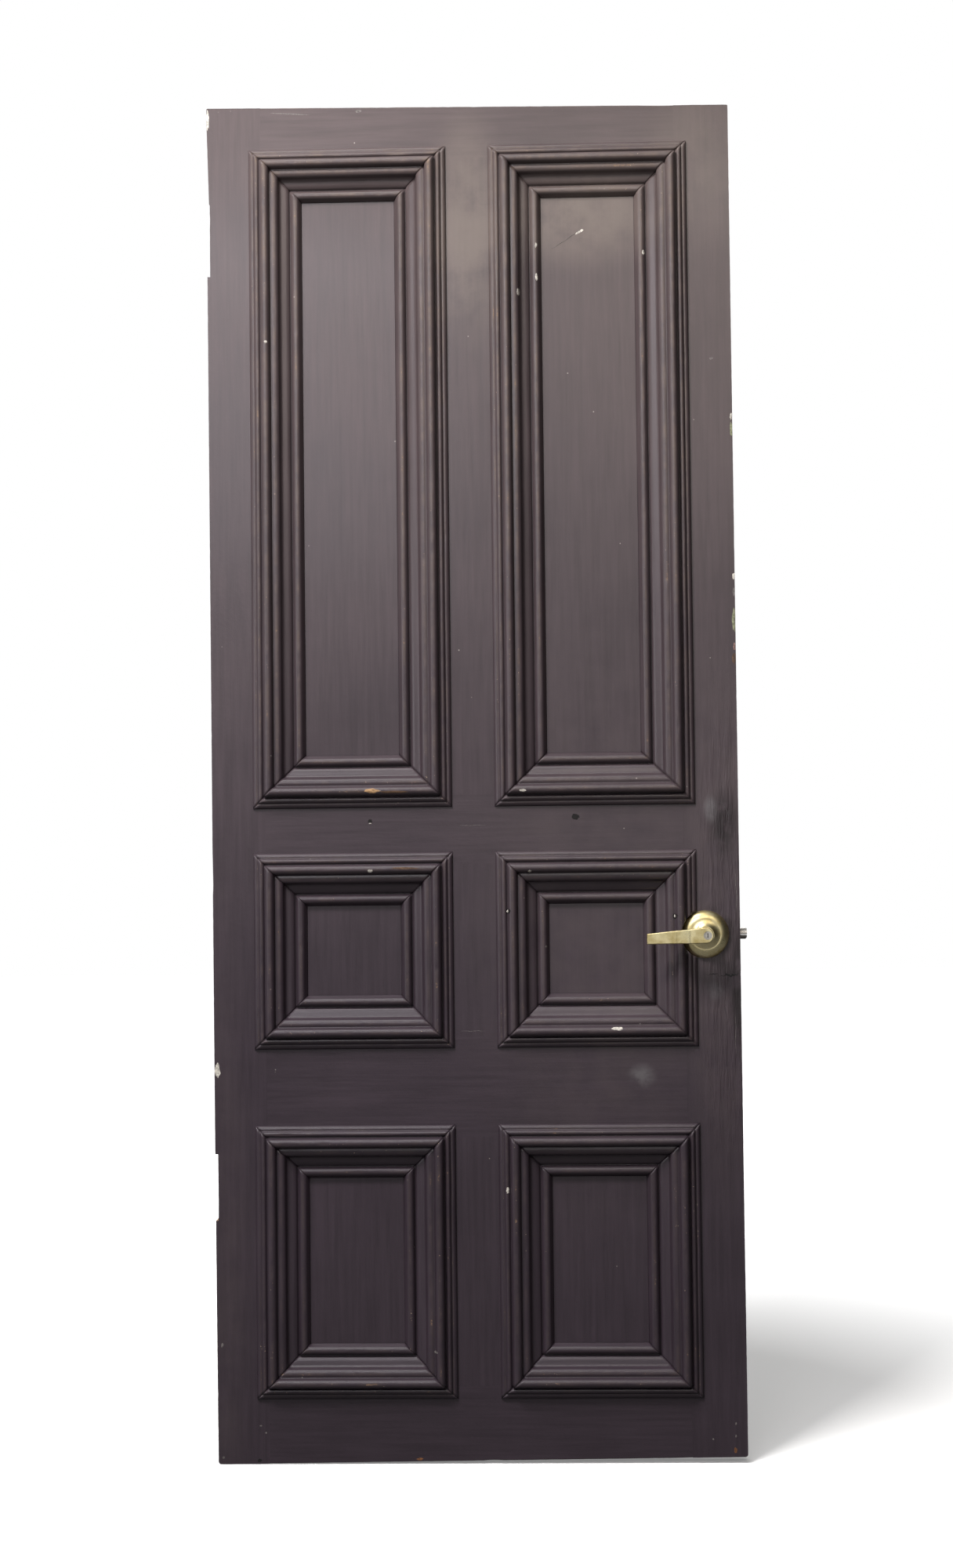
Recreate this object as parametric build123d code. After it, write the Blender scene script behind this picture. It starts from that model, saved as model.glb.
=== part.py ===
from build123d import *
import math
import os

# Six-panel pine door leaf with planted bolection mouldings and a keyed lever lock, in millimetres.
# The moulded front face looks toward -Y, the hinge edge lies at -X, the lock edge at +X.
# The origin is on the bottom edge, at the middle of the leaf's width and thickness.

# Leaf outline
leaf_width = 914.4
leaf_thickness = 44.5
foot_skew = 11.2             # the lock end of the foot was planed this much higher
head_skew = 14.0             # the lock end of the head was planed this much lower
foot_planed = 5.5            # taken off the hinge edge at the foot
planing_runs_out = 1200.0    # height where that planing ends
head_taper = 3.6             # taken off the hinge edge above the upper hinge
head_taper_length = 140.0
foot_corner_r = 5.0
head_corner_r = 2.0

# Faces left in sight between the mouldings, at the middle of the width
stile_sight = 73.7
muntin_sight = 73.7
bottom_rail_sight = 105.7
lower_lock_rail_sight = 131.0
upper_lock_rail_sight = 77.5
top_rail_sight = 69.4

# Height of each row of panels over the outside of its mouldings
lower_panel_height = 468.1
middle_panel_height = 339.0
upper_panel_height = 1158.0

# Joinery
panel_thickness = 14.0
panel_setback = 12.0         # panel face behind the front face of the frame
groove_depth = 9.0
groove_end_play = 0.8        # panels float in their grooves
joint_gap = 0.1
rail_tenon_length = 60.0
muntin_tenon_length = 28.0
tenon_haunch = 12.0          # a tenon is this much narrower than its rail, top and bottom
outer_rail_haunch = 36.0     # the same at the head and the foot, where the stile runs out
mortise_end_gap = 1.0
ovolo_size = 11.0            # stuck moulding on the back arrises of the frame
ovolo_quirk = 2.0

# Bolection moulding, from its outer edge inwards
moulding_lap = 21.0          # part of the moulding that lies on the frame
rebate_gap = 0.3
edge_round_width = 7.8
edge_quirk_width = 1.8
outer_bead_width = 9.2
quirk_width = 2.2
torus_width = 15.5
torus_drop_width = 1.5
second_bead_width = 13.8
step_width = 1.4
hollow_width = 15.3
groove_width = 4.7
inner_bead_width = 15.3
inner_fall_width = 3.7
edge_rise = 1.2
edge_round_height = 6.6
edge_quirk_height = 5.4
outer_bead_height = 10.8
quirk_height = 6.6
torus_height = 21.0
second_bead_height = 11.4
hollow_height = 2.5
hollow_fall = 10.0
valley_depth = 9.6
inner_bead_depth = 1.0       # its crest lies this far behind the front face

# Hinge gains, cut from the front arris of the hinge edge
gain_depth = 4.8
gain_back_wood = 6.4
upper_gain_height = 129.0
upper_gain_centre = 2121.0
lower_gain_height = 114.3
lower_gain_centre = 468.0
gain_screw_r = 1.6
gain_screw_depth = 26.0
outer_screw_spacing = 87.3
inner_screw_spacing = 29.0
screw_stagger = 12.7

# Lock position and bores
backset = 60.3
lock_height = 897.0
cross_bore_r = 27.0
latch_bore_r = 12.0

# Roses and spring cages
rose_r = 41.0
rose_height = 17.0
rose_rim = 2.0
rose_wall = 1.4
rose_notch_gap = 0.8
least_moulding_left = 12.0   # a shorter end beyond the rose is cut away with the notch
rose_shank_gap = 0.4
rose_flat = 2.0              # ring round the shank on top of the rose
cage_plate_r = 34.0
cage_plate_thickness = 2.0
cage_drum_r = 19.8
cage_drum_height = 9.5
cage_wall = 1.4
lever_spring_wire = 1.5
lever_spring_r = 15.0
lever_spring_pitch = 1.9
spring_end_gap = 0.1

# Levers
hub_r = 13.4
hub_shift = 3.0              # the round end of the lever lies this far towards the grip
shank_r = 11.5
lever_projection = 58.0
lever_length = 102.5
hub_blade_thickness = 13.0
grip_setback = 9.0
grip_thickness = 8.5
neck_start = 30.0
neck_length = 22.0
tip_top = 3.5
tip_bottom = 14.6
lever_edge_r = 1.6
neck_bend_r = 9.0
neck_lean = 4.0              # the back of the neck leans this much more than its face
shank_end_gap = 0.4          # between the shank and the spring cage
socket_end_gap = 0.3
running_gap = 0.05
bore_end_gap = 0.2

# Spindles, key cylinder and turn button
spindle_r = 8.0
spindle_bore_r = 5.0
spindle_reach = 37.5         # spindle end above the door face, inside the lever
cam_finger_r = 2.0
cam_finger_start = 2.0       # from the middle of the leaf
cam_side_gap = 1.0           # between the arm and the retractor
cam_tip_margin = 0.7         # the arm reaches this far past the finger
cam_arm_thickness = 2.4
cam_arm_width = 5.0
lever_travel = 45.0
cylinder_r = 7.2
cylinder_length = 19.0
cylinder_inset = 0.4
plug_r = 5.4
keyway_width = 1.3
keyway_height = 7.6
keyway_depth = 14.0
tailpiece_r = 1.3
button_length = 17.0
button_width = 5.5
button_height = 7.0
button_shaft_r = 3.0
button_shaft_length = 9.0
button_rise = 0.3            # gap between the button and the hub
button_edge_r = 1.6

# Chassis and retractor
chassis_r = 21.2
chassis_wall = 1.4
chassis_half_length = 20.0
chassis_hub_r = 13.0
chassis_window_gap = 1.0
retractor_half_width = 8.4
retractor_half_height = 6.0
retractor_back = 6.0
retractor_front = 13.0
retractor_ear = 2.2
retractor_ear_gap = 0.15
retractor_ear_side = 1.0     # the ear starts this far from the middle of the leaf
retractor_ear_lap = 0.9      # it rises this far past the middle of the finger
tail_head_thickness = 1.8
tail_head_half_height = 4.6
tail_half_height = 1.6
tail_half_width = 1.5
tail_gap = 0.1
tail_head_half_width = 3.0
retractor_jaw = 3.0

# Latch
latch_throw = 12.7
latch_bar_r = 9.5
latch_tube_r = 11.6
latch_tube_bore_r = 9.6
latch_tube_back = 24.0       # from the lock centre to the closed end of the tube
latch_tube_wall = 1.5
bolt_body_length = 31.0
bolt_underside = 1.6         # below the lock centre
plunger_gap = 1.3
plunger_lug = 4.0            # the bolt draws the plunger back by this lug
plunger_lug_rise = 1.5       # into the notch under the bolt
plunger_lug_y = (-6.0, -2.5)
latch_bevel = 11.6
plunger_chamfer = 3.0
latch_spring_r = 6.0
latch_spring_wire = 0.9
latch_spring_turns = 4.5
faceplate_height = 57.2
faceplate_width = 25.4
faceplate_thickness = 2.0
faceplate_corner_r = 3.0
faceplate_screw_spacing = 41.3
faceplate_screw_r = 2.1
faceplate_screw_head_r = 3.9
faceplate_screw_length = 19.0
screw_slot_width = 0.9
screw_slot_depth = 0.8

# Screws that draw the two spring cages together through the leaf
through_screw_r = 1.9
through_screw_offset = 23.9
through_screw_head_r = 3.4
through_screw_head_height = 2.2

# Places worked out from the sizes above
half_width = leaf_width / 2
front_face = -leaf_thickness / 2
back_face = leaf_thickness / 2
panel_front = front_face + panel_setback
panel_back = panel_front + panel_thickness
moulding_width = (
    edge_round_width + edge_quirk_width + outer_bead_width + quirk_width + torus_width
    + torus_drop_width + second_bead_width + step_width + hollow_width + groove_width
    + inner_bead_width + inner_fall_width
)
stile_width = stile_sight + moulding_lap
columns = {
    "left": (-half_width + stile_sight, -muntin_sight / 2),
    "right": (muntin_sight / 2, half_width - stile_sight),
}
lower_foot = bottom_rail_sight
middle_foot = lower_foot + lower_panel_height + lower_lock_rail_sight
upper_foot = middle_foot + middle_panel_height + upper_lock_rail_sight
rows = {
    "lower": (lower_foot, lower_foot + lower_panel_height),
    "middle": (middle_foot, middle_foot + middle_panel_height),
    "upper": (upper_foot, upper_foot + upper_panel_height),
}
leaf_height = upper_foot + upper_panel_height + top_rail_sight
lock_x = half_width - backset
lock_place = Pos(lock_x, 0, lock_height)
cam_radius = latch_throw / (2 * math.sin(math.radians(lever_travel / 2)))
cam_rest_angle = 90 - lever_travel / 2
bolt_tip = backset + latch_throw
bolt_heel = bolt_tip - bolt_body_length


def block(x_range, y_range, z_range):
    """Box between two opposite corners."""
    ranges = (x_range, y_range, z_range)
    size = [high - low for low, high in ranges]
    middle = [(high + low) / 2 for low, high in ranges]
    return Pos(*middle) * Box(*size)


def rod(radius, y_range, x=0.0, z=0.0):
    """Round bar along Y."""
    low, high = y_range
    return Pos(x, (low + high) / 2, z) * Rot(90, 0, 0) * Cylinder(radius, high - low)


def bar(radius, x_range):
    """Round bar along X through the origin."""
    low, high = x_range
    return Pos((low + high) / 2, 0, 0) * Rot(0, 90, 0) * Cylinder(radius, high - low)


def slab(face, y_range):
    """Give a face, drawn with its second axis as Z, a thickness along Y."""
    low, high = y_range
    upright = Plane(origin=(0, high, 0), x_dir=(1, 0, 0), z_dir=(0, -1, 0))
    return extrude(upright * face, high - low)


def polygon(*points):
    """Face inside a closed polygon."""
    return make_face(Polyline(*points, close=True))


def turned(*outline):
    """Solid turned about the Y axis from the curves of its half section in the XY plane."""
    return revolve(make_face(Wire(outline)), Axis.Y)


def grown(span, amount):
    """A range, made longer by the same amount at both ends."""
    return span[0] - amount, span[1] + amount


def section_length(section, length, width, outward=False):
    """Section run along +Z from the origin, its ends mitred across +X."""
    run = extrude(Pos(0, 0, -width) * section, length + 2 * width)
    shift = width if outward else -width
    mitres = polygon((0, 0), (0, length), (width, length + shift), (width, -shift))
    box = section.bounding_box()
    return run & slab(mitres, (box.min.Y - 1, box.max.Y + 1))


def along_side(section, width, x_range, z_range, side, face_y, height_sign, outward=False):
    """Mitred length of a section along one side of a rectangle in a face of the door."""
    x_low, x_high = x_range
    z_low, z_high = z_range
    inwards = {"bottom": (0, 0, 1), "top": (0, 0, -1), "left": (1, 0, 0), "right": (-1, 0, 0)}
    across = Vector(*inwards[side]) * (-1 if outward else 1)
    run_dir = across.cross(Vector(0, height_sign, 0))
    if side in ("bottom", "top"):
        length = x_high - x_low
        start = (x_low if run_dir.X > 0 else x_high, z_low if side == "bottom" else z_high)
    else:
        length = z_high - z_low
        start = (x_low if side == "left" else x_high, z_low if run_dir.Z > 0 else z_high)
    plane = Plane(origin=(start[0], face_y, start[1]), x_dir=across, z_dir=run_dir)
    return plane.location * section_length(section, length, width, outward)


def opening_of(row, column):
    """Opening in the frame behind one panel's mouldings, which lap over its edges."""
    return grown(columns[column], -moulding_lap), grown(rows[row], -moulding_lap)


def moulding_section():
    """Section of the bolection moulding: +X inwards over the panel, +Y out of the door."""
    outer_start = edge_round_width + edge_quirk_width
    outer_end = outer_start + outer_bead_width
    torus_start = outer_end + quirk_width
    torus_end = torus_start + torus_width
    second_start = torus_end + torus_drop_width
    second_end = second_start + second_bead_width
    hollow_start = second_end + step_width
    hollow_end = hollow_start + hollow_width
    inner_start = hollow_end + groove_width
    inner_end = inner_start + inner_bead_width
    rebate = moulding_lap + rebate_gap
    torus_rise = torus_height - quirk_height
    hollow_foot = hollow_height - hollow_fall
    inner_side = -0.5 * (inner_bead_depth + panel_setback)
    edge_round = ThreePointArc(
        (0, edge_rise),
        (0.4 * edge_round_width, edge_rise + 0.72 * (edge_round_height - edge_rise)),
        (edge_round_width, edge_round_height),
    )
    outer_bead = ThreePointArc(
        (outer_start, edge_quirk_height + 1.5),
        (outer_start + 0.55 * outer_bead_width, outer_bead_height),
        (outer_end, quirk_height + 1.2),
    )
    torus = ThreePointArc(
        (torus_start, quirk_height + 0.33 * torus_rise),
        (torus_start + 0.57 * torus_width, torus_height),
        (torus_end, torus_height - 0.35 * torus_rise),
    )
    second_bead = ThreePointArc(
        (second_start, second_bead_height - 1.3),
        (second_start + 0.54 * second_bead_width, second_bead_height),
        (second_end, second_bead_height - 3.8),
    )
    hollow = ThreePointArc(
        (hollow_start, hollow_height),
        (hollow_start + 0.35 * hollow_width, hollow_height - 0.67 * hollow_fall),
        (hollow_end, hollow_foot),
    )
    inner_bead = ThreePointArc(
        (inner_start, inner_side),
        (inner_start + 0.52 * inner_bead_width, -inner_bead_depth),
        (inner_end, inner_side),
    )
    members = [edge_round, outer_bead, torus, second_bead, hollow, inner_bead]
    valleys = {
        1: (outer_start - 0.6 * edge_quirk_width, edge_quirk_height),
        2: (torus_start - 0.3 * quirk_width, quirk_height),
        5: (inner_start - 0.3 * groove_width, -valley_depth),
    }
    outline = [Line((0, 0), edge_round @ 0), edge_round]
    for place in range(1, len(members)):
        before, after = members[place - 1], members[place]
        stops = [before @ 1, valleys[place], after @ 0] if place in valleys else [before @ 1, after @ 0]
        outline += [Line(first, last) for first, last in zip(stops, stops[1:])]
        outline.append(after)
    outline += [
        Line(inner_bead @ 1, (moulding_width, -panel_setback)),
        Line((moulding_width, -panel_setback), (rebate, -panel_setback)),
        Line((rebate, -panel_setback), (rebate, 0)),
        Line((rebate, 0), (0, 0)),
    ]
    return make_face(Wire(outline))


def rose_notch():
    """Room for the rose in the mouldings; near the end of a row it runs on past the corner."""
    radius = rose_r + rose_notch_gap
    y_range = (front_face - torus_height - 1, front_face)
    foot, head = rows["middle"]
    notch = rod(radius, y_range, lock_x, lock_height)
    if lock_height + radius > head - least_moulding_left:
        notch += block(grown((lock_x, lock_x), radius), y_range, (lock_height, head + 1))
    if lock_height - radius < foot + least_moulding_left:
        notch += block(grown((lock_x, lock_x), radius), y_range, (foot - 1, lock_height))
    return notch


def moulding(row, column, side):
    """One mitred length of moulding; those beside the lock are cut back to clear the rose."""
    length = along_side(
        moulding_section(), moulding_width, columns[column], rows[row], side, front_face, -1
    )
    if (row, column) == ("middle", "right") and side != "left":
        length -= rose_notch()
    return length


def ovolo_cutters():
    """Cutters for the ovolo stuck on the back arrises round every opening."""
    size, quirk = ovolo_size, ovolo_quirk
    sag = 1 - math.sqrt(0.5)
    curve = ThreePointArc(
        (0, -size - quirk),
        (sag * size, -quirk - sag * size),
        (size, -quirk),
    )
    section = make_face(
        Wire([
            curve,
            Line(curve @ 1, (size, 1)),
            Line((size, 1), (0, 1)),
            Line((0, 1), curve @ 0),
        ])
    )
    return [
        along_side(section, size, *opening_of(row, column), side, back_face, 1, outward=True)
        for row in rows
        for column in columns
        for side in ("bottom", "top", "left", "right")
    ]


def foot_at(x):
    """Height of the planed foot at a place across the width."""
    return foot_skew * x / leaf_width


def head_at(x):
    """Height of the planed head at a place across the width."""
    return leaf_height - head_skew * x / leaf_width


def hinge_edge_at(z):
    """Place of the hinge edge, which was planed towards the foot."""
    return -half_width + foot_planed * max(0.0, 1 - z / planing_runs_out)


def leaf_solid():
    """The whole leaf's outline as it was planed to suit its doorway, through its thickness."""
    foot_hinge = (hinge_edge_at(0), foot_at(hinge_edge_at(0)))
    foot_lock = (half_width, foot_at(half_width))
    head_lock = (half_width, head_at(half_width))
    head_hinge = (-half_width, head_at(-half_width))
    face = polygon(foot_hinge, foot_lock, head_lock, head_hinge, (-half_width, planing_runs_out))
    for corner, radius in (
        (foot_hinge, foot_corner_r), (foot_lock, foot_corner_r),
        (head_lock, head_corner_r), (head_hinge, head_corner_r),
    ):
        near = face.vertices().sort_by_distance((*corner, 0))[0]
        face = fillet(near, radius)
    leaf = slab(face, (front_face, back_face))
    gain_top = upper_gain_centre + upper_gain_height / 2
    taper = polygon(
        (-half_width - 1, gain_top), (-half_width + head_taper, gain_top),
        (-half_width, gain_top + head_taper_length), (-half_width - 1, gain_top + head_taper_length),
    )
    return leaf - slab(taper, (front_face, back_face))


def gain_cutter(centre, height):
    """Pocket for one hinge leaf, open at the front face, and its four pilot holes."""
    floor = hinge_edge_at(centre) + gain_depth
    y_range = (front_face - 1, back_face - gain_back_wood)
    z_range = (centre - height / 2, centre + height / 2)
    cutter = block((-half_width - 1, floor), y_range, z_range)
    middle_y = (front_face + back_face - gain_back_wood) / 2
    for spacing, offset in (
        (outer_screw_spacing, screw_stagger / 2), (inner_screw_spacing, -screw_stagger / 2)
    ):
        for end in (-1, 1):
            pilot = bar(gain_screw_r, (floor - 1, floor + gain_screw_depth))
            cutter += Pos(0, middle_y + offset, centre + end * spacing / 2) * pilot
    return cutter


# Frame members before they are cut: ranges across the width and up the height
beyond_foot = -foot_skew - 1
beyond_head = leaf_height + head_skew + 1
stile_inner = half_width - stile_width
muntin_edge = muntin_sight / 2 + moulding_lap
stiles = {
    "hinge_stile": (-half_width, -stile_inner),
    "lock_stile": (stile_inner, half_width),
}
rails = {
    "bottom_rail": (beyond_foot, rows["lower"][0] + moulding_lap),
    "lower_lock_rail": (rows["lower"][1] - moulding_lap, rows["middle"][0] + moulding_lap),
    "upper_lock_rail": (rows["middle"][1] - moulding_lap, rows["upper"][0] + moulding_lap),
    "top_rail": (rows["upper"][1] - moulding_lap, beyond_head),
}
rail_tenons = {
    "bottom_rail": (outer_rail_haunch, rails["bottom_rail"][1] - tenon_haunch),
    "lower_lock_rail": grown(rails["lower_lock_rail"], -tenon_haunch),
    "upper_lock_rail": grown(rails["upper_lock_rail"], -tenon_haunch),
    "top_rail": (rails["top_rail"][0] + tenon_haunch, leaf_height - outer_rail_haunch),
}


def rail_tenon(rail, end, gap=0.0):
    """Tenon at one end of a rail, or with a gap the mortise that takes it."""
    end_gap = mortise_end_gap if gap else 0.0
    reach = stile_inner + rail_tenon_length + end_gap
    x_range = (stile_inner, reach) if end > 0 else (-reach, -stile_inner)
    y_range = grown((panel_front, panel_back), gap)
    return block(x_range, y_range, grown(rail_tenons[rail], gap))


def muntin_tenons(row, gap=0.0):
    """Both tenons of a muntin as one bar, or with a gap the mortises that take them."""
    end_gap = mortise_end_gap if gap else 0.0
    x_range = grown((-muntin_edge, muntin_edge), gap - tenon_haunch)
    z_range = grown(rows[row], muntin_tenon_length - moulding_lap + end_gap)
    return block(x_range, grown((panel_front, panel_back), gap), z_range)


def panel(row, column):
    """Flat panel that floats in the grooves of the frame."""
    x_range, z_range = opening_of(row, column)
    tongue = groove_depth - groove_end_play
    solid = block(grown(x_range, tongue), (panel_front, panel_back), grown(z_range, tongue))
    if (row, column) == ("middle", "right"):
        solid -= cross_bore()
    return solid


def panel_grooves():
    """Cutters for the grooves round all the openings."""
    y_range = grown((panel_front, panel_back), joint_gap / 2)
    cutters = []
    for row in rows:
        for column in columns:
            x_range, z_range = opening_of(row, column)
            cutters.append(block(grown(x_range, groove_depth), y_range, grown(z_range, groove_depth)))
    return cutters


def cross_bore():
    """Bore through the lock stile for the lock chassis."""
    return rod(cross_bore_r, (front_face - 1, back_face + 1), lock_x, lock_height)


def frame_members():
    """Stiles, rails and muntins, jointed, grooved and cut for hinges and lock."""
    leaf = leaf_solid()
    y_range = (front_face, back_face)
    cutters = panel_grooves() + ovolo_cutters()
    members = {}
    for name, x_range in stiles.items():
        end = -1 if name == "hinge_stile" else 1
        mortises = [rail_tenon(rail, end, joint_gap) for rail in rails]
        blank = block(x_range, y_range, (beyond_foot, beyond_head)) & leaf
        members[name] = blank - cutters - mortises
    for name, z_range in rails.items():
        mortises = [muntin_tenons(row, joint_gap) for row in rows]
        blank = block((-stile_inner, stile_inner), y_range, z_range) & leaf
        members[name] = blank - cutters - mortises + rail_tenon(name, -1) + rail_tenon(name, 1)
    for row, z_range in rows.items():
        blank = block((-muntin_edge, muntin_edge), y_range, grown(z_range, -moulding_lap))
        members[f"{row}_muntin"] = blank - cutters + muntin_tenons(row)
    members["hinge_stile"] -= gain_cutter(upper_gain_centre, upper_gain_height)
    members["hinge_stile"] -= gain_cutter(lower_gain_centre, lower_gain_height)
    members["lock_stile"] -= [cross_bore(), lock_place * latch_bore()]
    return members


def latch_bore():
    """Bore from the edge for the latch, with the faceplate's mortise and screw holes."""
    cutter = bar(latch_bore_r, (0, backset + 1)) + faceplate_blank(backset + 1)
    for z in screw_heights(faceplate_screw_spacing):
        hole = bar(faceplate_screw_r + running_gap, (backset - faceplate_screw_length, backset))
        cutter += Pos(0, 0, z) * hole
    return cutter


def screw_heights(spacing):
    """Heights of two screws above and below the lock centre."""
    return -spacing / 2, spacing / 2


def faceplate_blank(outer_x):
    """Faceplate before it is pierced, from its back face out to a given place."""
    plate = block(
        (backset - faceplate_thickness, outer_x),
        grown((0, 0), faceplate_width / 2),
        grown((0, 0), faceplate_height / 2),
    )
    return fillet(plate.edges().filter_by(Axis.X), faceplate_corner_r)


# The pieces below are drawn about the lock centre, on the inside of the door (+Y). The ones
# on the outside are their mirror images.


def dome(radius, height):
    """Solid dome of a rose, standing on the back face."""
    neck = shank_r + rose_shank_gap + rose_flat
    shoulder = (0.62 * radius, back_face + 0.66 * height)
    rim = (radius, back_face + min(rose_rim, 0.2 * height))
    top = (neck, back_face + height)
    swell = ThreePointArc(rim, (0.865 * radius, back_face + 0.48 * height), shoulder)
    hollow = ThreePointArc(shoulder, (0.465 * radius, back_face + 0.775 * height), top)
    return turned(
        Line((0, back_face), (radius, back_face)),
        Line((radius, back_face), rim),
        swell,
        hollow,
        Line(top, (0, back_face + height)),
        Line((0, back_face + height), (0, back_face)),
    )


def rose():
    """Pressed rose: a thin domed shell with a hole for the lever's shank."""
    shell = dome(rose_r, rose_height) - dome(rose_r - rose_wall, rose_height - rose_wall)
    return shell - rod(shank_r + rose_shank_gap, (back_face, back_face + rose_height + 1))


def spring_cage():
    """Plate and drum that carry the lever's shank and hold its return spring."""
    plate_top = back_face + cage_plate_thickness
    drum_top = back_face + cage_drum_height
    cage = rod(cage_plate_r, (back_face, plate_top)) + rod(cage_drum_r, (plate_top, drum_top))
    cage -= rod(cage_drum_r - cage_wall, (plate_top, drum_top - cage_wall))
    cage -= rod(chassis_hub_r + running_gap, (back_face - 1, plate_top + 1))
    cage -= rod(shank_r + running_gap, (plate_top, drum_top + 1))
    for z in screw_heights(2 * through_screw_offset):
        cage -= rod(through_screw_r + running_gap, (back_face - 1, plate_top + 1), 0, z)
    return cage


def lever_spring():
    """Torsion spring wound round the lever's shank, inside the cage."""
    room = cage_drum_height - cage_plate_thickness - cage_wall
    room -= lever_spring_wire + 2 * spring_end_gap
    start = back_face + cage_plate_thickness + lever_spring_wire / 2 + spring_end_gap
    coil = Helix(lever_spring_pitch, room, lever_spring_r)
    section = Plane(origin=coil @ 0, z_dir=coil % 0) * Circle(lever_spring_wire / 2)
    return Pos(0, start, 0) * Rot(-90, 0, 0) * sweep(section, coil, is_frenet=True)


def lever_blade():
    """Lever seen from above as a cranked bar, cut to its tapered outline seen from the front."""
    face_y = back_face + lever_projection
    grip_y = face_y - grip_setback
    neck_end = -neck_start - neck_length
    corners = [
        (hub_r, face_y), (-neck_start, face_y), (neck_end, grip_y), (-lever_length, grip_y),
        (-lever_length, grip_y - grip_thickness), (neck_end + neck_lean, grip_y - grip_thickness),
        (-neck_start + 2 * neck_lean, face_y - hub_blade_thickness),
        (hub_r, face_y - hub_blade_thickness),
    ]
    crank = polygon(*corners)
    for corner in (corners[1], corners[2], corners[5], corners[6]):
        crank = fillet(crank.vertices().sort_by_distance((*corner, 0))[0], neck_bend_r)
    cranked_bar = extrude(Pos(0, 0, -2 * hub_r) * crank, 4 * hub_r)
    outline = polygon(
        (-hub_shift, hub_r), (-lever_length, tip_top), (-lever_length, -tip_bottom),
        (-hub_shift, -hub_r),
    )
    front = slab(outline + Pos(-hub_shift, 0) * Circle(hub_r), (back_face, face_y + 1))
    return cranked_bar & front


def lever():
    """Cast lever with its shank and the socket for its spindle."""
    blade = lever_blade()
    blade = fillet(blade.edges(), lever_edge_r)
    shank_start = back_face + cage_plate_thickness + shank_end_gap
    shank_end = back_face + lever_projection - hub_blade_thickness / 2
    solid = blade + rod(shank_r, (shank_start, shank_end))
    return solid - rod(spindle_r + running_gap, (shank_start - 1, spindle_end() + socket_end_gap))


def spindle_end():
    """Outer end of a spindle, inside the lever's shank."""
    return back_face + spindle_reach


def cylinder_range():
    """Ends of the key cylinder, a little below the face of the lever's hub."""
    outer = back_face + lever_projection - cylinder_inset
    return outer - cylinder_length, outer


def keyed_lever():
    """Lever bored for the key cylinder and for its tailpiece."""
    low, high = cylinder_range()
    bore = rod(cylinder_r + running_gap, (low - bore_end_gap, high + 1))
    return lever() - bore - rod(2 * tailpiece_r, (spindle_end(), low))


def button_shaft_range():
    """Ends of the turn button's shaft in the hub of the inside lever."""
    outer = back_face + lever_projection
    return outer - button_shaft_length, outer


def plain_lever():
    """Lever bored for the turn button's shaft."""
    low, high = button_shaft_range()
    return lever() - rod(button_shaft_r + running_gap, (low - bore_end_gap, high + 1))


def spindle():
    """Tube that turns with the lever; its finger draws the retractor back."""
    arm_start = retractor_half_width + cam_side_gap
    arm_end = arm_start + cam_arm_thickness
    reach = cam_radius + cam_finger_r + cam_tip_margin
    arm = block((0, reach), (arm_start, arm_end), grown((0, 0), cam_arm_width / 2))
    arm = arm & rod(reach, (arm_start, arm_end))
    finger = rod(cam_finger_r, (cam_finger_start, arm_end), cam_radius)
    tube = rod(spindle_r, (arm_start, spindle_end()))
    solid = tube + Rot(0, -cam_rest_angle, 0) * (arm + finger)
    return solid - rod(spindle_bore_r, (arm_start - 1, spindle_end() + 1))


def key_cylinder():
    """Fixed shell of the key cylinder."""
    low, high = cylinder_range()
    return rod(cylinder_r, (low, high)) - rod(plug_r + running_gap, (low - 1, high + 1))


def key_plug():
    """Plug with its keyway and the tailpiece that reaches into the chassis."""
    low, high = cylinder_range()
    keyway = block(
        grown((0, 0), keyway_width / 2), (high - keyway_depth, high + 1),
        grown((0, 0), keyway_height / 2),
    )
    plug = rod(plug_r, (low, high)) - keyway
    return plug + rod(tailpiece_r, (retractor_half_width + cam_side_gap, low))


def turn_button():
    """Oval button and shaft in the hub of the inside lever."""
    low, high = button_shaft_range()
    oval = Rot(0, 0, 90) * SlotOverall(button_length, button_width)
    grip = slab(oval, (high + button_rise, high + button_height))
    outer_edges = grip.edges().group_by(Axis.Y)[-1]
    return fillet(outer_edges, button_edge_r) + rod(button_shaft_r, (low, high + button_rise))


def chassis():
    """Drum in the cross bore: end plates with hubs for the spindles, and the retractor's shelf."""
    length = (-chassis_half_length, chassis_half_length)
    drum = rod(chassis_r, length) - rod(chassis_r - chassis_wall, grown(length, -chassis_wall))
    hub_end = back_face + cage_plate_thickness
    drum += rod(chassis_hub_r, (chassis_half_length - chassis_wall, hub_end))
    drum += rod(chassis_hub_r, (-hub_end, chassis_wall - chassis_half_length))
    drum -= rod(spindle_r + running_gap, grown((-hub_end, hub_end), 1))
    window = block(
        (retractor_front + chassis_window_gap, chassis_r + 1),
        grown((0, 0), retractor_half_width), grown((0, 0), latch_bar_r),
    )
    shelf_top = -retractor_half_height - tail_gap
    shelf = block(
        (-chassis_r, retractor_front), grown((0, 0), retractor_half_width),
        (shelf_top - chassis_wall, shelf_top),
    )
    return drum - window + (shelf & rod(chassis_r - chassis_wall / 2, length))


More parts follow.
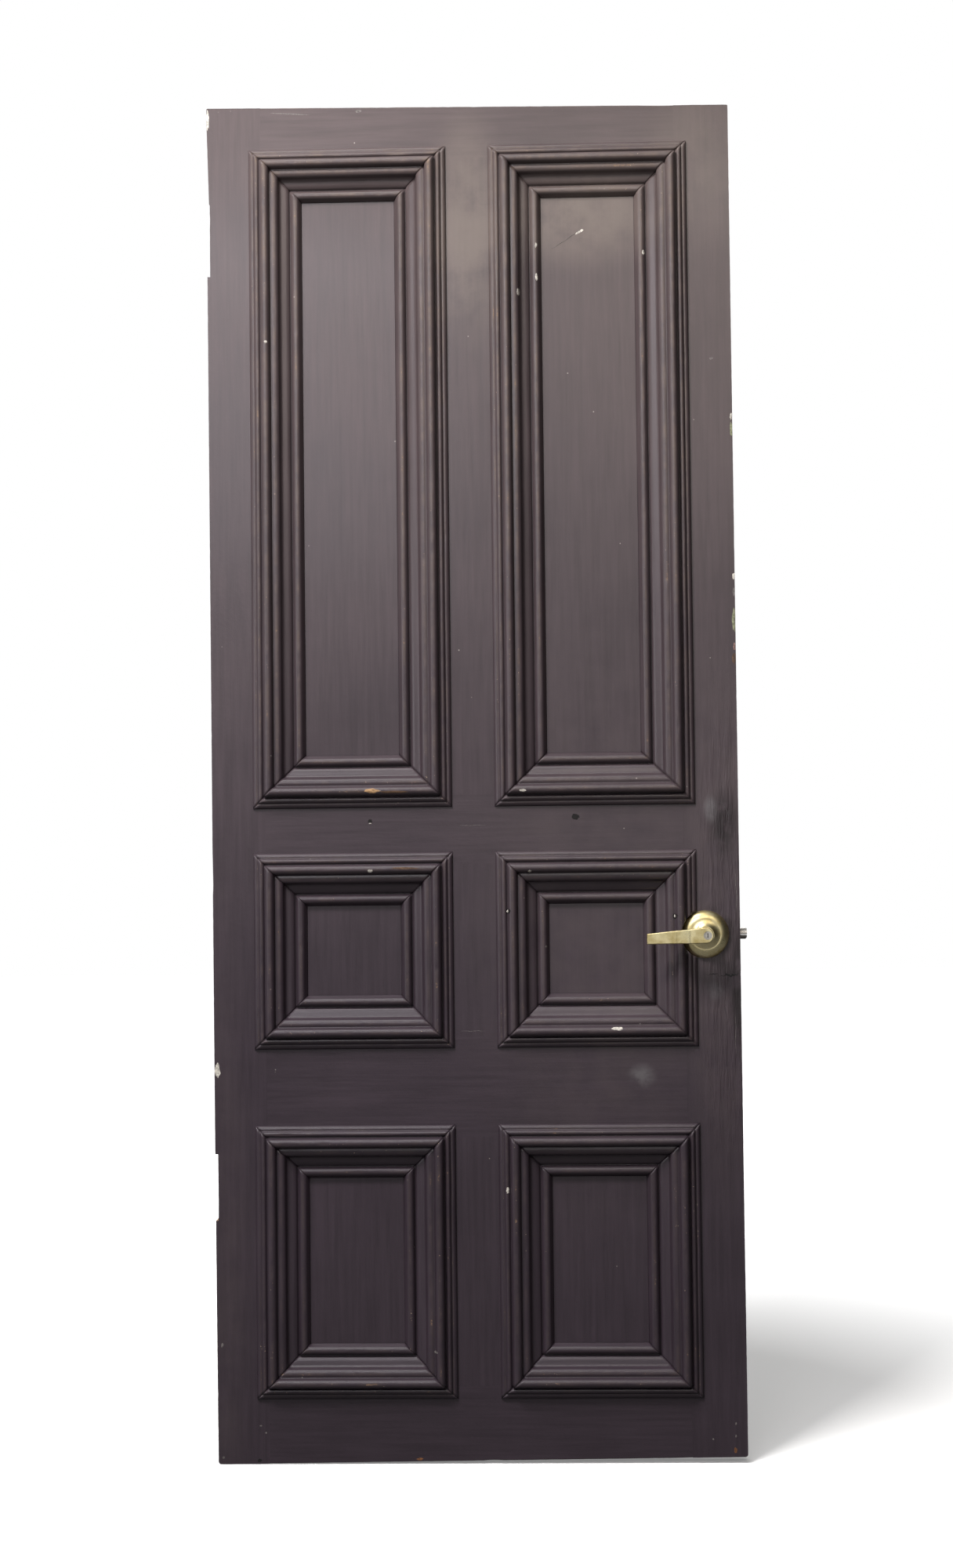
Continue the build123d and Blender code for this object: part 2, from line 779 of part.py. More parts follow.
def retractor():
    """Slide that the outside spindle's finger draws back, holding the tail of the latch bolt."""
    half = retractor_half_width
    body = block((-retractor_back, retractor_front), (-half, half), grown((0, 0), retractor_half_height))
    finger_x = cam_radius * math.cos(math.radians(cam_rest_angle))
    ear_front = finger_x - cam_finger_r - retractor_ear_gap
    ear_top = cam_radius * math.sin(math.radians(cam_rest_angle)) + retractor_ear_lap
    body += block((ear_front - retractor_ear, ear_front), (-half, -retractor_ear_side), (0, ear_top))
    pocket_front = retractor_front - retractor_jaw
    pocket = block(
        (pocket_front - tail_head_thickness - 2 * tail_gap, pocket_front),
        (-tail_head_half_width - tail_gap, half + 1),
        grown((0, 0), tail_head_half_height + tail_gap),
    )
    neck = block(
        (pocket_front, retractor_front + 1), (-tail_half_width - tail_gap, half + 1),
        grown((0, 0), tail_half_height + tail_gap),
    )
    return body - pocket - neck


def latch_tube():
    """Tube that guides the bolt and the plunger, closed at its inner end round the bolt's tail."""
    outer_end = backset - faceplate_thickness
    tube = bar(latch_tube_r, (latch_tube_back, outer_end))
    tube -= bar(latch_tube_bore_r, (latch_tube_back + latch_tube_wall, outer_end + 1))
    return tube - block(
        (latch_tube_back - 1, latch_tube_back + latch_tube_wall + 1),
        grown((0, 0), tail_head_half_width + tail_gap), grown((0, 0), tail_head_half_height + tail_gap),
    )


def lug_block(back, gap=0.0):
    """Lug of the plunger, or with a gap the notch for it under the bolt."""
    front = bolt_heel + 2 * plunger_lug + gap
    z_range = (-bolt_underside - plunger_gap - gap, plunger_lug_rise - bolt_underside + gap)
    return block((back, front), grown(plunger_lug_y, gap), z_range)


def latch_bolt():
    """Bevelled bolt, the upper part of a round bar, with the tail that the retractor holds."""
    upper = block((bolt_heel, bolt_tip), grown((0, 0), latch_bar_r), (-bolt_underside, latch_bar_r))
    bolt = bar(latch_bar_r, (bolt_heel, bolt_tip)) & upper
    bevel = polygon(
        (bolt_tip, -0.3 * latch_bar_r), (bolt_tip + 1, -0.3 * latch_bar_r),
        (bolt_tip + 1, latch_bar_r + 1), (bolt_tip - latch_bevel, latch_bar_r + 1),
    )
    bolt -= extrude(Pos(0, 0, -2 * latch_bar_r) * bevel, 4 * latch_bar_r)
    bolt -= lug_block(bolt_heel - 1, tail_gap)
    head_front = retractor_front - retractor_jaw - tail_gap
    tail = block((head_front, bolt_heel), grown((0, 0), tail_half_width), grown((0, 0), tail_half_height))
    head = block(
        (head_front - tail_head_thickness, head_front),
        grown((0, 0), tail_head_half_width), grown((0, 0), tail_head_half_height),
    )
    return bolt + tail + head


def deadlatch_plunger():
    """Lower part of the same round bar, which moves by itself."""
    top = -bolt_underside - plunger_gap
    lower = block((bolt_heel, bolt_tip), grown((0, 0), latch_bar_r), (-latch_bar_r, top))
    plunger = bar(latch_bar_r, (bolt_heel, bolt_tip)) & lower
    chamfer_cut = polygon(
        (bolt_tip - plunger_chamfer, -latch_bar_r - 1), (bolt_tip + 1, -latch_bar_r - 1),
        (bolt_tip + 1, -latch_bar_r + plunger_chamfer), (bolt_tip, -latch_bar_r + plunger_chamfer),
    )
    plunger -= slab(chamfer_cut, (-latch_bar_r, latch_bar_r))
    return plunger + lug_block(bolt_heel + plunger_lug)


def latch_spring():
    """Spring between the tube's closed end and the heel of the bolt."""
    start = latch_tube_back + latch_tube_wall + latch_spring_wire / 2 + spring_end_gap
    end = bolt_heel - latch_spring_wire / 2 - spring_end_gap
    coil = Helix((end - start) / latch_spring_turns, end - start, latch_spring_r)
    section = Plane(origin=coil @ 0, z_dir=coil % 0) * Circle(latch_spring_wire / 2)
    return Pos(start, 0, 0) * Rot(0, 90, 0) * sweep(section, coil, is_frenet=True)


def latch_faceplate():
    """Plate in the edge of the door, pierced for the bolt, the plunger and two screws."""
    plate = faceplate_blank(backset) - bar(latch_tube_bore_r, (0, backset + 1))
    for z in screw_heights(faceplate_screw_spacing):
        plate -= Pos(0, 0, z) * countersunk(running_gap)
    return plate


def countersunk(gap=0.0):
    """Countersunk screw along X, its head flush with the door's edge."""
    head_back = backset - faceplate_thickness
    head = Pos((head_back + backset) / 2, 0, 0) * Rot(0, 90, 0) * Cone(
        faceplate_screw_r + gap, faceplate_screw_head_r + gap, faceplate_thickness
    )
    return head + bar(faceplate_screw_r + gap, (backset - faceplate_screw_length, head_back))


def faceplate_screws():
    """Two countersunk screws with slotted heads."""
    slot = block(
        (backset - screw_slot_depth, backset + 1),
        grown((0, 0), faceplate_screw_head_r + 1), grown((0, 0), screw_slot_width / 2),
    )
    screw = countersunk() - slot
    return [Pos(0, 0, z) * screw for z in screw_heights(faceplate_screw_spacing)]


def through_screws():
    """Two screws that clamp the spring cages on the leaf, their heads inside."""
    plate_top = back_face + cage_plate_thickness
    head_top = plate_top + through_screw_head_height
    screws = []
    for z in screw_heights(2 * through_screw_offset):
        shank = rod(through_screw_r, (-plate_top, plate_top), 0, z)
        head = rod(through_screw_head_r, (plate_top, head_top), 0, z)
        slot = block(
            grown((0, 0), through_screw_head_r + 1), (head_top - screw_slot_depth, head_top + 1),
            grown((z, z), screw_slot_width / 2),
        )
        screws.append(shank + head - slot)
    return screws


def outside(solid):
    """Mirror a piece to the outside of the door."""
    return mirror(solid, about=Plane.XZ)


def lock_parts():
    """Every piece of the lock, in its place on the lock stile."""
    parts = {
        "outside_rose": outside(rose()),
        "outside_spring_cage": outside(spring_cage()),
        "outside_lever": outside(keyed_lever()),
        "outside_spindle": outside(spindle()),
        "key_cylinder": outside(key_cylinder()),
        "key_plug": outside(key_plug()),
        "inside_rose": rose(),
        "inside_spring_cage": spring_cage(),
        "inside_lever": plain_lever(),
        "inside_spindle": spindle(),
        "turn_button": turn_button(),
        "lever_springs": [outside(lever_spring()), lever_spring()],
        "lock_chassis": chassis(),
        "retractor": retractor(),
        "latch_tube": latch_tube(),
        "latch_bolt": latch_bolt(),
        "deadlatch_plunger": deadlatch_plunger(),
        "latch_spring": latch_spring(),
        "latch_faceplate": latch_faceplate(),
        "faceplate_screws": faceplate_screws(),
        "through_screws": through_screws(),
    }
    placed = {}
    for name, solid in parts.items():
        if isinstance(solid, list):
            placed[name] = Compound([lock_place * single for single in solid])
        else:
            placed[name] = lock_place * solid
    return placed


def all_parts():
    """Every node of the door by name."""
    parts = frame_members()
    for row in rows:
        for column in columns:
            parts[f"{row}_{column}_panel"] = panel(row, column)
            for side in ("bottom", "top", "left", "right"):
                parts[f"{row}_{column}_moulding_{side}"] = moulding(row, column, side)
    parts.update(lock_parts())
    return parts


os.makedirs("parts", exist_ok=True)
for name, solid in all_parts().items():
    export_step(solid, f"parts/{name}.step")
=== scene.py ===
import math
import bmesh
import bpy
from mathutils import Matrix, Vector, noise
from mathutils.bvhtree import BVHTree


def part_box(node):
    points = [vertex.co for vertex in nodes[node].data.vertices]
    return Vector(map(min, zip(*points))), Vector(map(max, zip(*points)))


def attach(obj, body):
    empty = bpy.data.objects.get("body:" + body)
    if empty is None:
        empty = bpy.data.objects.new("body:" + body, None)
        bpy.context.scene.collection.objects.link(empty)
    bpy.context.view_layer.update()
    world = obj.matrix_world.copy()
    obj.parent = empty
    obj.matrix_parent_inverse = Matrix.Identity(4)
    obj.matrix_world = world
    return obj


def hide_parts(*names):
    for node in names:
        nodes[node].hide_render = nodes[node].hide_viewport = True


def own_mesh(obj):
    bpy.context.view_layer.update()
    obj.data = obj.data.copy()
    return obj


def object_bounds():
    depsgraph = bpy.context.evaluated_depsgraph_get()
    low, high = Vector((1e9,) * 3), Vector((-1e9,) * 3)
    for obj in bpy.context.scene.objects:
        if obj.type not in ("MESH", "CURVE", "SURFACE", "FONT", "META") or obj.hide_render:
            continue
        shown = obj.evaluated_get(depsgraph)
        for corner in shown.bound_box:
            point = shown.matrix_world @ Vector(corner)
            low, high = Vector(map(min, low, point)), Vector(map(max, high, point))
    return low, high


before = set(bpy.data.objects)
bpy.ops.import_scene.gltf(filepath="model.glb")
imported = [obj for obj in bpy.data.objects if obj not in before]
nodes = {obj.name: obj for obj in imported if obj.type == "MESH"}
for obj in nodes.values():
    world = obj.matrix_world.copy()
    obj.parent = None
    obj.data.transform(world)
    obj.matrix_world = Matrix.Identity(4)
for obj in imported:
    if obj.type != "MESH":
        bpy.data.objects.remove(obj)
cadLow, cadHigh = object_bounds()
scene = bpy.context.scene
mm = 0.001
lockCentre = (0.3969, 0.0, 0.897)             # where the levers turn


# small helpers for node trees and meshes

def addNode(tree, kind, **settings):
    node = tree.nodes.new(kind)
    for key, value in settings.items():
        setattr(node, key, value)
    return node


def mathNode(tree, operation, first, second=None, third=None, clamp=False):
    node = tree.nodes.new("ShaderNodeMath")
    node.operation = operation
    node.use_clamp = clamp
    for index, value in enumerate((first, second, third)):
        if value is None:
            continue
        if isinstance(value, (int, float)):
            node.inputs[index].default_value = value
        else:
            tree.links.new(value, node.inputs[index])
    return node.outputs[0]


def mixColour(tree, factor, first, second, blend="MIX"):
    node = tree.nodes.new("ShaderNodeMix")
    node.data_type = "RGBA"
    node.blend_type = blend
    sockets = (node.inputs[0], node.inputs[6], node.inputs[7])         # factor, A and B for colours
    for socket, value in zip(sockets, (factor, first, second)):
        if isinstance(value, (int, float)):
            socket.default_value = value
        elif isinstance(value, tuple):
            socket.default_value = (*value, 1.0)
        else:
            tree.links.new(value, socket)
    return node.outputs[2]


def ramp(tree, value, low, high):
    node = tree.nodes.new("ShaderNodeMapRange")
    node.interpolation_type = "SMOOTHSTEP"
    node.inputs["From Min"].default_value = low
    node.inputs["From Max"].default_value = high
    tree.links.new(value, node.inputs["Value"])
    return node.outputs["Result"]


def noiseNode(tree, coords, scale, detail=3.0, roughness=0.55, stretch=None):
    if stretch:
        mapping = tree.nodes.new("ShaderNodeMapping")
        mapping.inputs["Scale"].default_value = stretch
        tree.links.new(coords, mapping.inputs["Vector"])
        coords = mapping.outputs["Vector"]
    node = tree.nodes.new("ShaderNodeTexNoise")
    node.inputs["Scale"].default_value = scale
    node.inputs["Detail"].default_value = detail
    node.inputs["Roughness"].default_value = roughness
    tree.links.new(coords, node.inputs["Vector"])
    return node.outputs["Fac"]


def objectCoords(tree):
    return tree.nodes.new("ShaderNodeTexCoord").outputs["Object"]


def attributeValue(tree, name):
    return addNode(tree, "ShaderNodeAttribute", attribute_name=name).outputs["Fac"]


def axisOf(tree, vector, axis):
    node = tree.nodes.new("ShaderNodeSeparateXYZ")
    tree.links.new(vector, node.inputs[0])
    return node.outputs[axis]


def spot(tree, coords, centre, size):
    # soft blob mask round a place, 1 in the middle
    shift = addNode(tree, "ShaderNodeMapping", vector_type="TEXTURE")
    shift.inputs["Location"].default_value = centre
    shift.inputs["Scale"].default_value = size
    tree.links.new(coords, shift.inputs["Vector"])
    length = addNode(tree, "ShaderNodeVectorMath", operation="LENGTH")
    tree.links.new(shift.outputs["Vector"], length.inputs[0])
    return mathNode(tree, "SUBTRACT", 1.0, ramp(tree, length.outputs["Value"], 0.2, 1.0))


def newGroup(name, outputs, vectors=()):
    group = bpy.data.node_groups.new(name, "ShaderNodeTree")
    for socketName in vectors:
        group.interface.new_socket(socketName, in_out="INPUT", socket_type="NodeSocketVector")
    for socketName in outputs:
        group.interface.new_socket(socketName, in_out="OUTPUT", socket_type="NodeSocketFloat")
    return group, group.nodes.new("NodeGroupInput"), group.nodes.new("NodeGroupOutput")


def useGroup(tree, group, **links):
    node = tree.nodes.new("ShaderNodeGroup")
    node.node_tree = group
    for key, value in links.items():
        socket = node.inputs[key]
        if isinstance(value, (int, float, tuple)):
            socket.default_value = value
        else:
            tree.links.new(value, socket)
    return node.outputs


def newMaterial(name):
    material = bpy.data.materials.new(name)
    material.use_nodes = True
    return material, material.node_tree, material.node_tree.nodes["Principled BSDF"]


def bumpInto(tree, shader, height, strength, distance):
    bump = tree.nodes.new("ShaderNodeBump")
    bump.inputs["Strength"].default_value = strength
    bump.inputs["Distance"].default_value = distance
    tree.links.new(height, bump.inputs["Height"])
    tree.links.new(bump.outputs["Normal"], shader.inputs["Normal"])


def placePiece(name, mesh, materials, body, slotName, replaced=()):
    piece = bpy.data.objects.new(name, mesh)
    scene.collection.objects.link(piece)
    for material in materials:
        mesh.materials.append(material)
    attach(piece, body)
    if replaced:
        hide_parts(*replaced)
    return piece


def meshPiece(name, bm, *where):
    mesh = bpy.data.meshes.new(name)
    bm.to_mesh(mesh)
    bm.free()
    return placePiece(name, mesh, *where)


# shared effects as node groups

effectLooks = {
    "strokeScale": 9.0,         # brush strokes, drawn out along each member
    "lumpScale": 150.0,
    "swellScale": 22.0,
    "strokeHeight": 0.55,
    "lumpHeight": 0.28,
    "swellHeight": 0.5,
    "wearScale": 24.0,
    "wearFineScale": 210.0,
    "cloudScale": 3.2,
    "cloudFineScale": 17.0,
    "fadeHeights": (0.8, 2.75),               # between these the paint is painted lighter towards the top, standing in for the brighter light there
    "runScale": 30.0,
    "runStretch": (4.2, 4.2, 0.40),
    "speckScale": 46.0,
    "speckEdge": (0.035, 0.07),
}

grain, grainIn, grainOut = newGroup("paintGrain", ("Strokes", "Height"), ("Along",))
grainCoords = objectCoords(grain)
grainScaled = addNode(grain, "ShaderNodeVectorMath", operation="MULTIPLY")
grain.links.new(grainCoords, grainScaled.inputs[0])
grain.links.new(grainIn.outputs["Along"], grainScaled.inputs[1])
strokes = noiseNode(grain, grainScaled.outputs["Vector"], effectLooks["strokeScale"], 5.0, 0.62)
lumps = noiseNode(grain, grainCoords, effectLooks["lumpScale"], 2.0, 0.5)
swells = noiseNode(grain, grainCoords, effectLooks["swellScale"], 3.0, 0.5)
grain.links.new(strokes, grainOut.inputs["Strokes"])
lumpy = mathNode(grain, "MULTIPLY_ADD", lumps, effectLooks["lumpHeight"],
                 mathNode(grain, "MULTIPLY", strokes, effectLooks["strokeHeight"]))
grain.links.new(mathNode(grain, "MULTIPLY_ADD", swells, effectLooks["swellHeight"], lumpy),
                grainOut.inputs["Height"])

# edge wear, and painted shade darkening the quirks of the mouldings
wearGroup, _, wearOut = newGroup("edgeWear", ("Ridge", "Bare", "Dirt"))
wearCoords = objectCoords(wearGroup)
ridgeValue = attributeValue(wearGroup, "ridge")
dirtValue = attributeValue(wearGroup, "dirt")
patchy = noiseNode(wearGroup, wearCoords, effectLooks["wearScale"], 5.0, 0.68)
patchyFine = noiseNode(wearGroup, wearCoords, effectLooks["wearFineScale"], 3.0, 0.6)
ridgeSoft = mathNode(wearGroup, "MULTIPLY", ridgeValue, ramp(wearGroup, patchy, 0.38, 0.66))
wearGroup.links.new(ridgeSoft, wearOut.inputs["Ridge"])
bareSum = mathNode(wearGroup, "ADD", mathNode(wearGroup, "MULTIPLY", patchy, 0.62),
                   mathNode(wearGroup, "MULTIPLY", patchyFine, 0.38))
bareMask = mathNode(wearGroup, "MULTIPLY", ramp(wearGroup, ridgeValue, 0.55, 0.95),
                    ramp(wearGroup, bareSum, 0.605, 0.645))
wearGroup.links.new(bareMask, wearOut.inputs["Bare"])
# painted shade: the quirks of the mouldings are darkened
dirtMask = mathNode(wearGroup, "MULTIPLY", dirtValue, ramp(wearGroup, patchy, 0.2, 0.6))
wearGroup.links.new(dirtMask, wearOut.inputs["Dirt"])

weatherPatches = {              # each patch: centre, half sizes in metres, strength; cloud breaks it up
    # painted sheen: lighter olive patches where the glare falls at the top of the door
    "Olive": {"cloud": (0.12, 0.66), "spots": (
        ((0.4, 0, 2.24), (0.12, 0.5, 0.19), 0.45),
        ((0.0, 0, 2.13), (0.09, 0.5, 0.26), 1.0),
        ((0.2, 0, 2.16), (0.19, 0.5, 0.12), 1.0),
    )},
    "Grime": {"cloud": (0.15, 0.80), "spots": (
        ((0.43, 0, 0.95), (0.12, 0.5, 0.62), 1.0),
        ((0.22, 0, 0.95), (0.3, 0.5, 0.75), 0.6),
        ((-0.45, 0, 0.35), (0.07, 0.5, 0.95), 0.45),
    )},
    "Smear": {"cloud": (0.36, 0.50), "spots": (
        ((0.432, 0, 1.085), (0.034, 0.5, 0.085), 1.0),
        ((0.452, 0, 0.80), (0.018, 0.5, 0.17), 1.0),
        ((0.42, 0, 0.905), (0.05, 0.5, 0.055), 1.0),
    )},
    "Scuff": {"cloud": (0.36, 0.56), "spots": (
        # the first spot is a painted highlight on the glossy smear beside the lock; the other two are pale
        # scuffs
        ((0.409, 0, 1.112), (0.016, 0.5, 0.030), 1.0),
        ((0.413, 0, 0.80), (0.022, 0.5, 0.020), 1.0),
        ((0.285, 0, 0.655), (0.030, 0.5, 0.026), 1.0),
    )},
    "Runs": {"spots": (((0.435, 0, 0.90), (0.075, 0.5, 0.52), 1.0),)},
}

# dust, grime, smear and scuffs, together with painted light: a lighter top, sheen patches and a highlight
dust, _, dustOut = newGroup("weather", ("Fade", "Speck", "Cloud", *weatherPatches))
dustCoords = objectCoords(dust)
cloud = noiseNode(dust, dustCoords, effectLooks["cloudScale"], 5.0, 0.6)
dust.links.new(cloud, dustOut.inputs["Cloud"])
# painted light: the paint turns lighter towards the top, as if more light fell there
fadeAt = mathNode(dust, "MULTIPLY_ADD", cloud, 0.5, axisOf(dust, dustCoords, "Z"))
dust.links.new(ramp(dust, fadeAt, *effectLooks["fadeHeights"]), dustOut.inputs["Fade"])

cloudFine = noiseNode(dust, dustCoords, effectLooks["cloudFineScale"], 4.0, 0.6)
runRidges = noiseNode(dust, dustCoords, effectLooks["runScale"], 4.0, 0.62, effectLooks["runStretch"])
for name, patch in weatherPatches.items():
    mask = 0.0
    for centre, size, strength in patch["spots"]:
        blob = mathNode(dust, "MULTIPLY", spot(dust, dustCoords, centre, size), strength)
        mask = mathNode(dust, "MAXIMUM", blob, mask)
    if name == "Runs":                        # upright scraped ridges on the lock stile
        broken = ramp(dust, runRidges, 0.36, 0.68)
    else:
        broken = ramp(dust, cloudFine, *patch["cloud"])
    dust.links.new(mathNode(dust, "MULTIPLY", mask, broken), dustOut.inputs[name])

speckCells = addNode(dust, "ShaderNodeTexVoronoi", feature="F1")
speckCells.inputs["Scale"].default_value = effectLooks["speckScale"]
dust.links.new(dustCoords, speckCells.inputs["Vector"])
speckEdge = ramp(dust, speckCells.outputs["Distance"], *effectLooks["speckEdge"])
speckFew = ramp(dust, axisOf(dust, speckCells.outputs["Color"], "X"), 0.93, 0.95)    # few of the cells
dust.links.new(mathNode(dust, "MULTIPLY", mathNode(dust, "SUBTRACT", 1.0, speckEdge), speckFew),
               dustOut.inputs["Speck"])
print("shared effects made")


# paint, wood and metals

paintLooks = {
    "deep": (0.0300, 0.0212, 0.0280),          # old brown purple paint
    "faded": (0.0570, 0.0425, 0.0425),         # the same, painted lighter towards the top where more light falls
    # painted sheen: the light tone laid on the glare patches at the top
    "olive": (0.140, 0.113, 0.095),
    "grime": (0.068, 0.052, 0.054),
    "ridge": (0.092, 0.066, 0.053),            # thin worn paint on the ridges, and a painted highlight on the crests, stronger towards the top
    "bareWood": (0.23, 0.145, 0.085),
    # painted shade: near black laid into the quirks of the mouldings
    "dirt": (0.006, 0.005, 0.006),
    "speck": (0.34, 0.31, 0.28),
    "smear": (0.014, 0.010, 0.011),            # dark handled patch beside the lock
    # pale scuffs, and a painted highlight on the glossy smear beside the lock
    "scuff": (0.115, 0.108, 0.112),
    "roughness": 0.37,
    "roughSpread": 0.26,
    "ior": 1.5,
    "coat": 0.12,
    "coatRoughness": 0.15,
    "bareRougher": 0.3,
    "rawRougher": 0.35,
    "bump": 0.42,
    "bumpDistance": 0.0010,
    "runHeight": 2.6,
    "bareDepth": 0.5,
}
layerAmounts = {"olive": 0.55, "grime": 0.75, "ridge": 1.0, "dirt": 0.6, "speck": 0.7, "smear": 0.92,
                "scuff": 0.7, "worn": 0.55, "raw": 0.9}


def makePaint(name, along):
    material, tree, shader = newMaterial(name)
    looks = paintLooks
    grained = useGroup(tree, grain, Along=along)
    worn = useGroup(tree, wearGroup)
    weather = useGroup(tree, dust)
    rawAmount = attributeValue(tree, "raw")

    # painted light: the colour is lighter towards the top
    colour = mixColour(tree, weather["Fade"], looks["deep"], looks["faded"])
    stroke = mathNode(tree, "MULTIPLY_ADD", grained["Strokes"], 0.8, 0.60)
    # painted shade: the colour darkens in the grooves between the scraped ridges on the lock stile
    stroke = mathNode(tree, "MULTIPLY_ADD", weather["Runs"], 0.28, stroke)
    shade = mathNode(tree, "MULTIPLY", stroke, mathNode(tree, "MULTIPLY_ADD", weather["Cloud"], 0.7, 0.65))
    shadeColour = tree.nodes.new("ShaderNodeCombineColor")
    for socket in shadeColour.inputs[:3]:
        tree.links.new(shade, socket)
    colour = mixColour(tree, 1.0, colour, shadeColour.outputs[0], "MULTIPLY")
    # worn paint and a painted highlight on the ridges, stronger towards the top
    ridgeMask = mathNode(tree, "MULTIPLY", worn["Ridge"],
                         mathNode(tree, "MULTIPLY_ADD", weather["Fade"], 0.75, 0.22))
    layers = (                                # from the bottom up: layer, its mask, its colour
        # painted sheen at the top of the door
        ("olive", weather["Olive"], looks["olive"]),
        ("grime", weather["Grime"], looks["grime"]),
        # worn paint and a painted highlight on the ridges
        ("ridge", ridgeMask, looks["ridge"]),
        # painted shade in the quirks
        ("dirt", worn["Dirt"], looks["dirt"]),
        ("speck", weather["Speck"], looks["speck"]),
        ("smear", weather["Smear"], looks["smear"]),
        # pale scuffs, and a painted highlight on the glossy smear
        ("scuff", weather["Scuff"], looks["scuff"]),
        ("worn", worn["Bare"], looks["bareWood"]),
        ("raw", rawAmount, looks["bareWood"]),
    )
    for layer, mask, layerColour in layers:
        amount = mathNode(tree, "MULTIPLY", mask, layerAmounts[layer])
        colour = mixColour(tree, amount, colour, layerColour)
    tree.links.new(colour, shader.inputs["Base Color"])
    shader.inputs["IOR"].default_value = looks["ior"]
    shader.inputs["Coat Weight"].default_value = looks["coat"]
    shader.inputs["Coat Roughness"].default_value = looks["coatRoughness"]

    uneven = mathNode(tree, "MULTIPLY_ADD", weather["Cloud"], 0.5,
                      mathNode(tree, "MULTIPLY", grained["Strokes"], 0.5))
    rough = mathNode(tree, "MULTIPLY_ADD", uneven, looks["roughSpread"],
                     looks["roughness"] - looks["roughSpread"] / 2)
    rough = mathNode(tree, "MULTIPLY_ADD", worn["Bare"], looks["bareRougher"], rough)
    rough = mathNode(tree, "MULTIPLY_ADD", rawAmount, looks["rawRougher"], rough, clamp=True)
    tree.links.new(rough, shader.inputs["Roughness"])
    height = mathNode(tree, "MULTIPLY_ADD", weather["Runs"], looks["runHeight"], grained["Height"])
    height = mathNode(tree, "MULTIPLY_ADD", worn["Bare"], -looks["bareDepth"], height)
    bumpInto(tree, shader, height, looks["bump"], looks["bumpDistance"])
    return material


paintUp = makePaint("paintUpright", (14.0, 14.0, 0.7))
paintAcross = makePaint("paintLevel", (0.7, 14.0, 14.0))

chipLooks = {                                 # colour of each kind of chip or mark
    "primer": (0.56, 0.53, 0.47),
    "pine": (0.36, 0.22, 0.11),
    "brown": (0.10, 0.058, 0.035),
    "olive": (0.23, 0.24, 0.15),
    "pink": (0.34, 0.20, 0.17),
    "rust": (0.20, 0.085, 0.035),
    "grey": (0.15, 0.135, 0.13),
    "scuff": (0.062, 0.058, 0.060),
    "scratch": (0.022, 0.018, 0.020),
    "dark": (0.006, 0.005, 0.005),
    "fleck": (0.36, 0.27, 0.20),
}
chipGrain = {"scale": 260.0, "darker": 0.45, "bump": 0.5, "bumpDistance": 0.0004}


def makeChip(kind, colour):
    material, tree, shader = newMaterial("chip_" + kind)
    coords = objectCoords(tree)
    fine = noiseNode(tree, coords, chipGrain["scale"], 4.0, 0.65)
    darker = tuple(chipGrain["darker"] * part for part in colour)
    tree.links.new(mixColour(tree, ramp(tree, fine, 0.35, 0.62), darker, colour), shader.inputs["Base Color"])
    tree.links.new(mathNode(tree, "MULTIPLY_ADD", fine, 0.25, 0.55), shader.inputs["Roughness"])
    bumpInto(tree, shader, fine, chipGrain["bump"], chipGrain["bumpDistance"])
    return material


chipMaterials = {kind: makeChip(kind, colour) for kind, colour in chipLooks.items()}

metalLooks = {
    "brass": {"bright": (0.96, 0.85, 0.50), "dull": (0.70, 0.57, 0.25), "rough": 0.23, "spread": 0.08},
    "nickel": {"bright": (0.70, 0.68, 0.63), "dull": (0.34, 0.31, 0.26), "rough": 0.26, "spread": 0.18},
    "steel": {"bright": (0.56, 0.54, 0.50), "dull": (0.22, 0.20, 0.17), "rough": 0.34, "spread": 0.2},
}
scratchLooks = {"scale": 60.0, "stretch": (2.0, 9.0, 38.0), "rougher": 0.10, "bump": 0.04,
                "bumpDistance": 0.00003}

metalWear, _, metalOut = newGroup("metalWear", ("Tarnish", "Scratch"))
metalCoords = objectCoords(metalWear)
tarnish = noiseNode(metalWear, metalCoords, 42.0, 5.0, 0.62)
metalWear.links.new(ramp(metalWear, tarnish, 0.38, 0.70), metalOut.inputs["Tarnish"])
scratches = noiseNode(metalWear, metalCoords, scratchLooks["scale"], 4.0, 0.7, scratchLooks["stretch"])
metalWear.links.new(scratches, metalOut.inputs["Scratch"])


def makeMetal(name):
    looks = metalLooks[name]
    material, tree, shader = newMaterial(name + "Worn")
    wear = useGroup(tree, metalWear)
    colour = mixColour(tree, wear["Tarnish"], looks["bright"], looks["dull"])
    tree.links.new(colour, shader.inputs["Base Color"])
    shader.inputs["Metallic"].default_value = 1.0
    rough = mathNode(tree, "MULTIPLY_ADD", wear["Tarnish"], looks["spread"], looks["rough"])
    rough = mathNode(tree, "MULTIPLY_ADD", wear["Scratch"], scratchLooks["rougher"], rough)
    tree.links.new(rough, shader.inputs["Roughness"])
    bumpInto(tree, shader, wear["Scratch"], scratchLooks["bump"], scratchLooks["bumpDistance"])
    return material


brass, nickel, steel = makeMetal("brass"), makeMetal("nickel"), makeMetal("steel")
print("materials made")


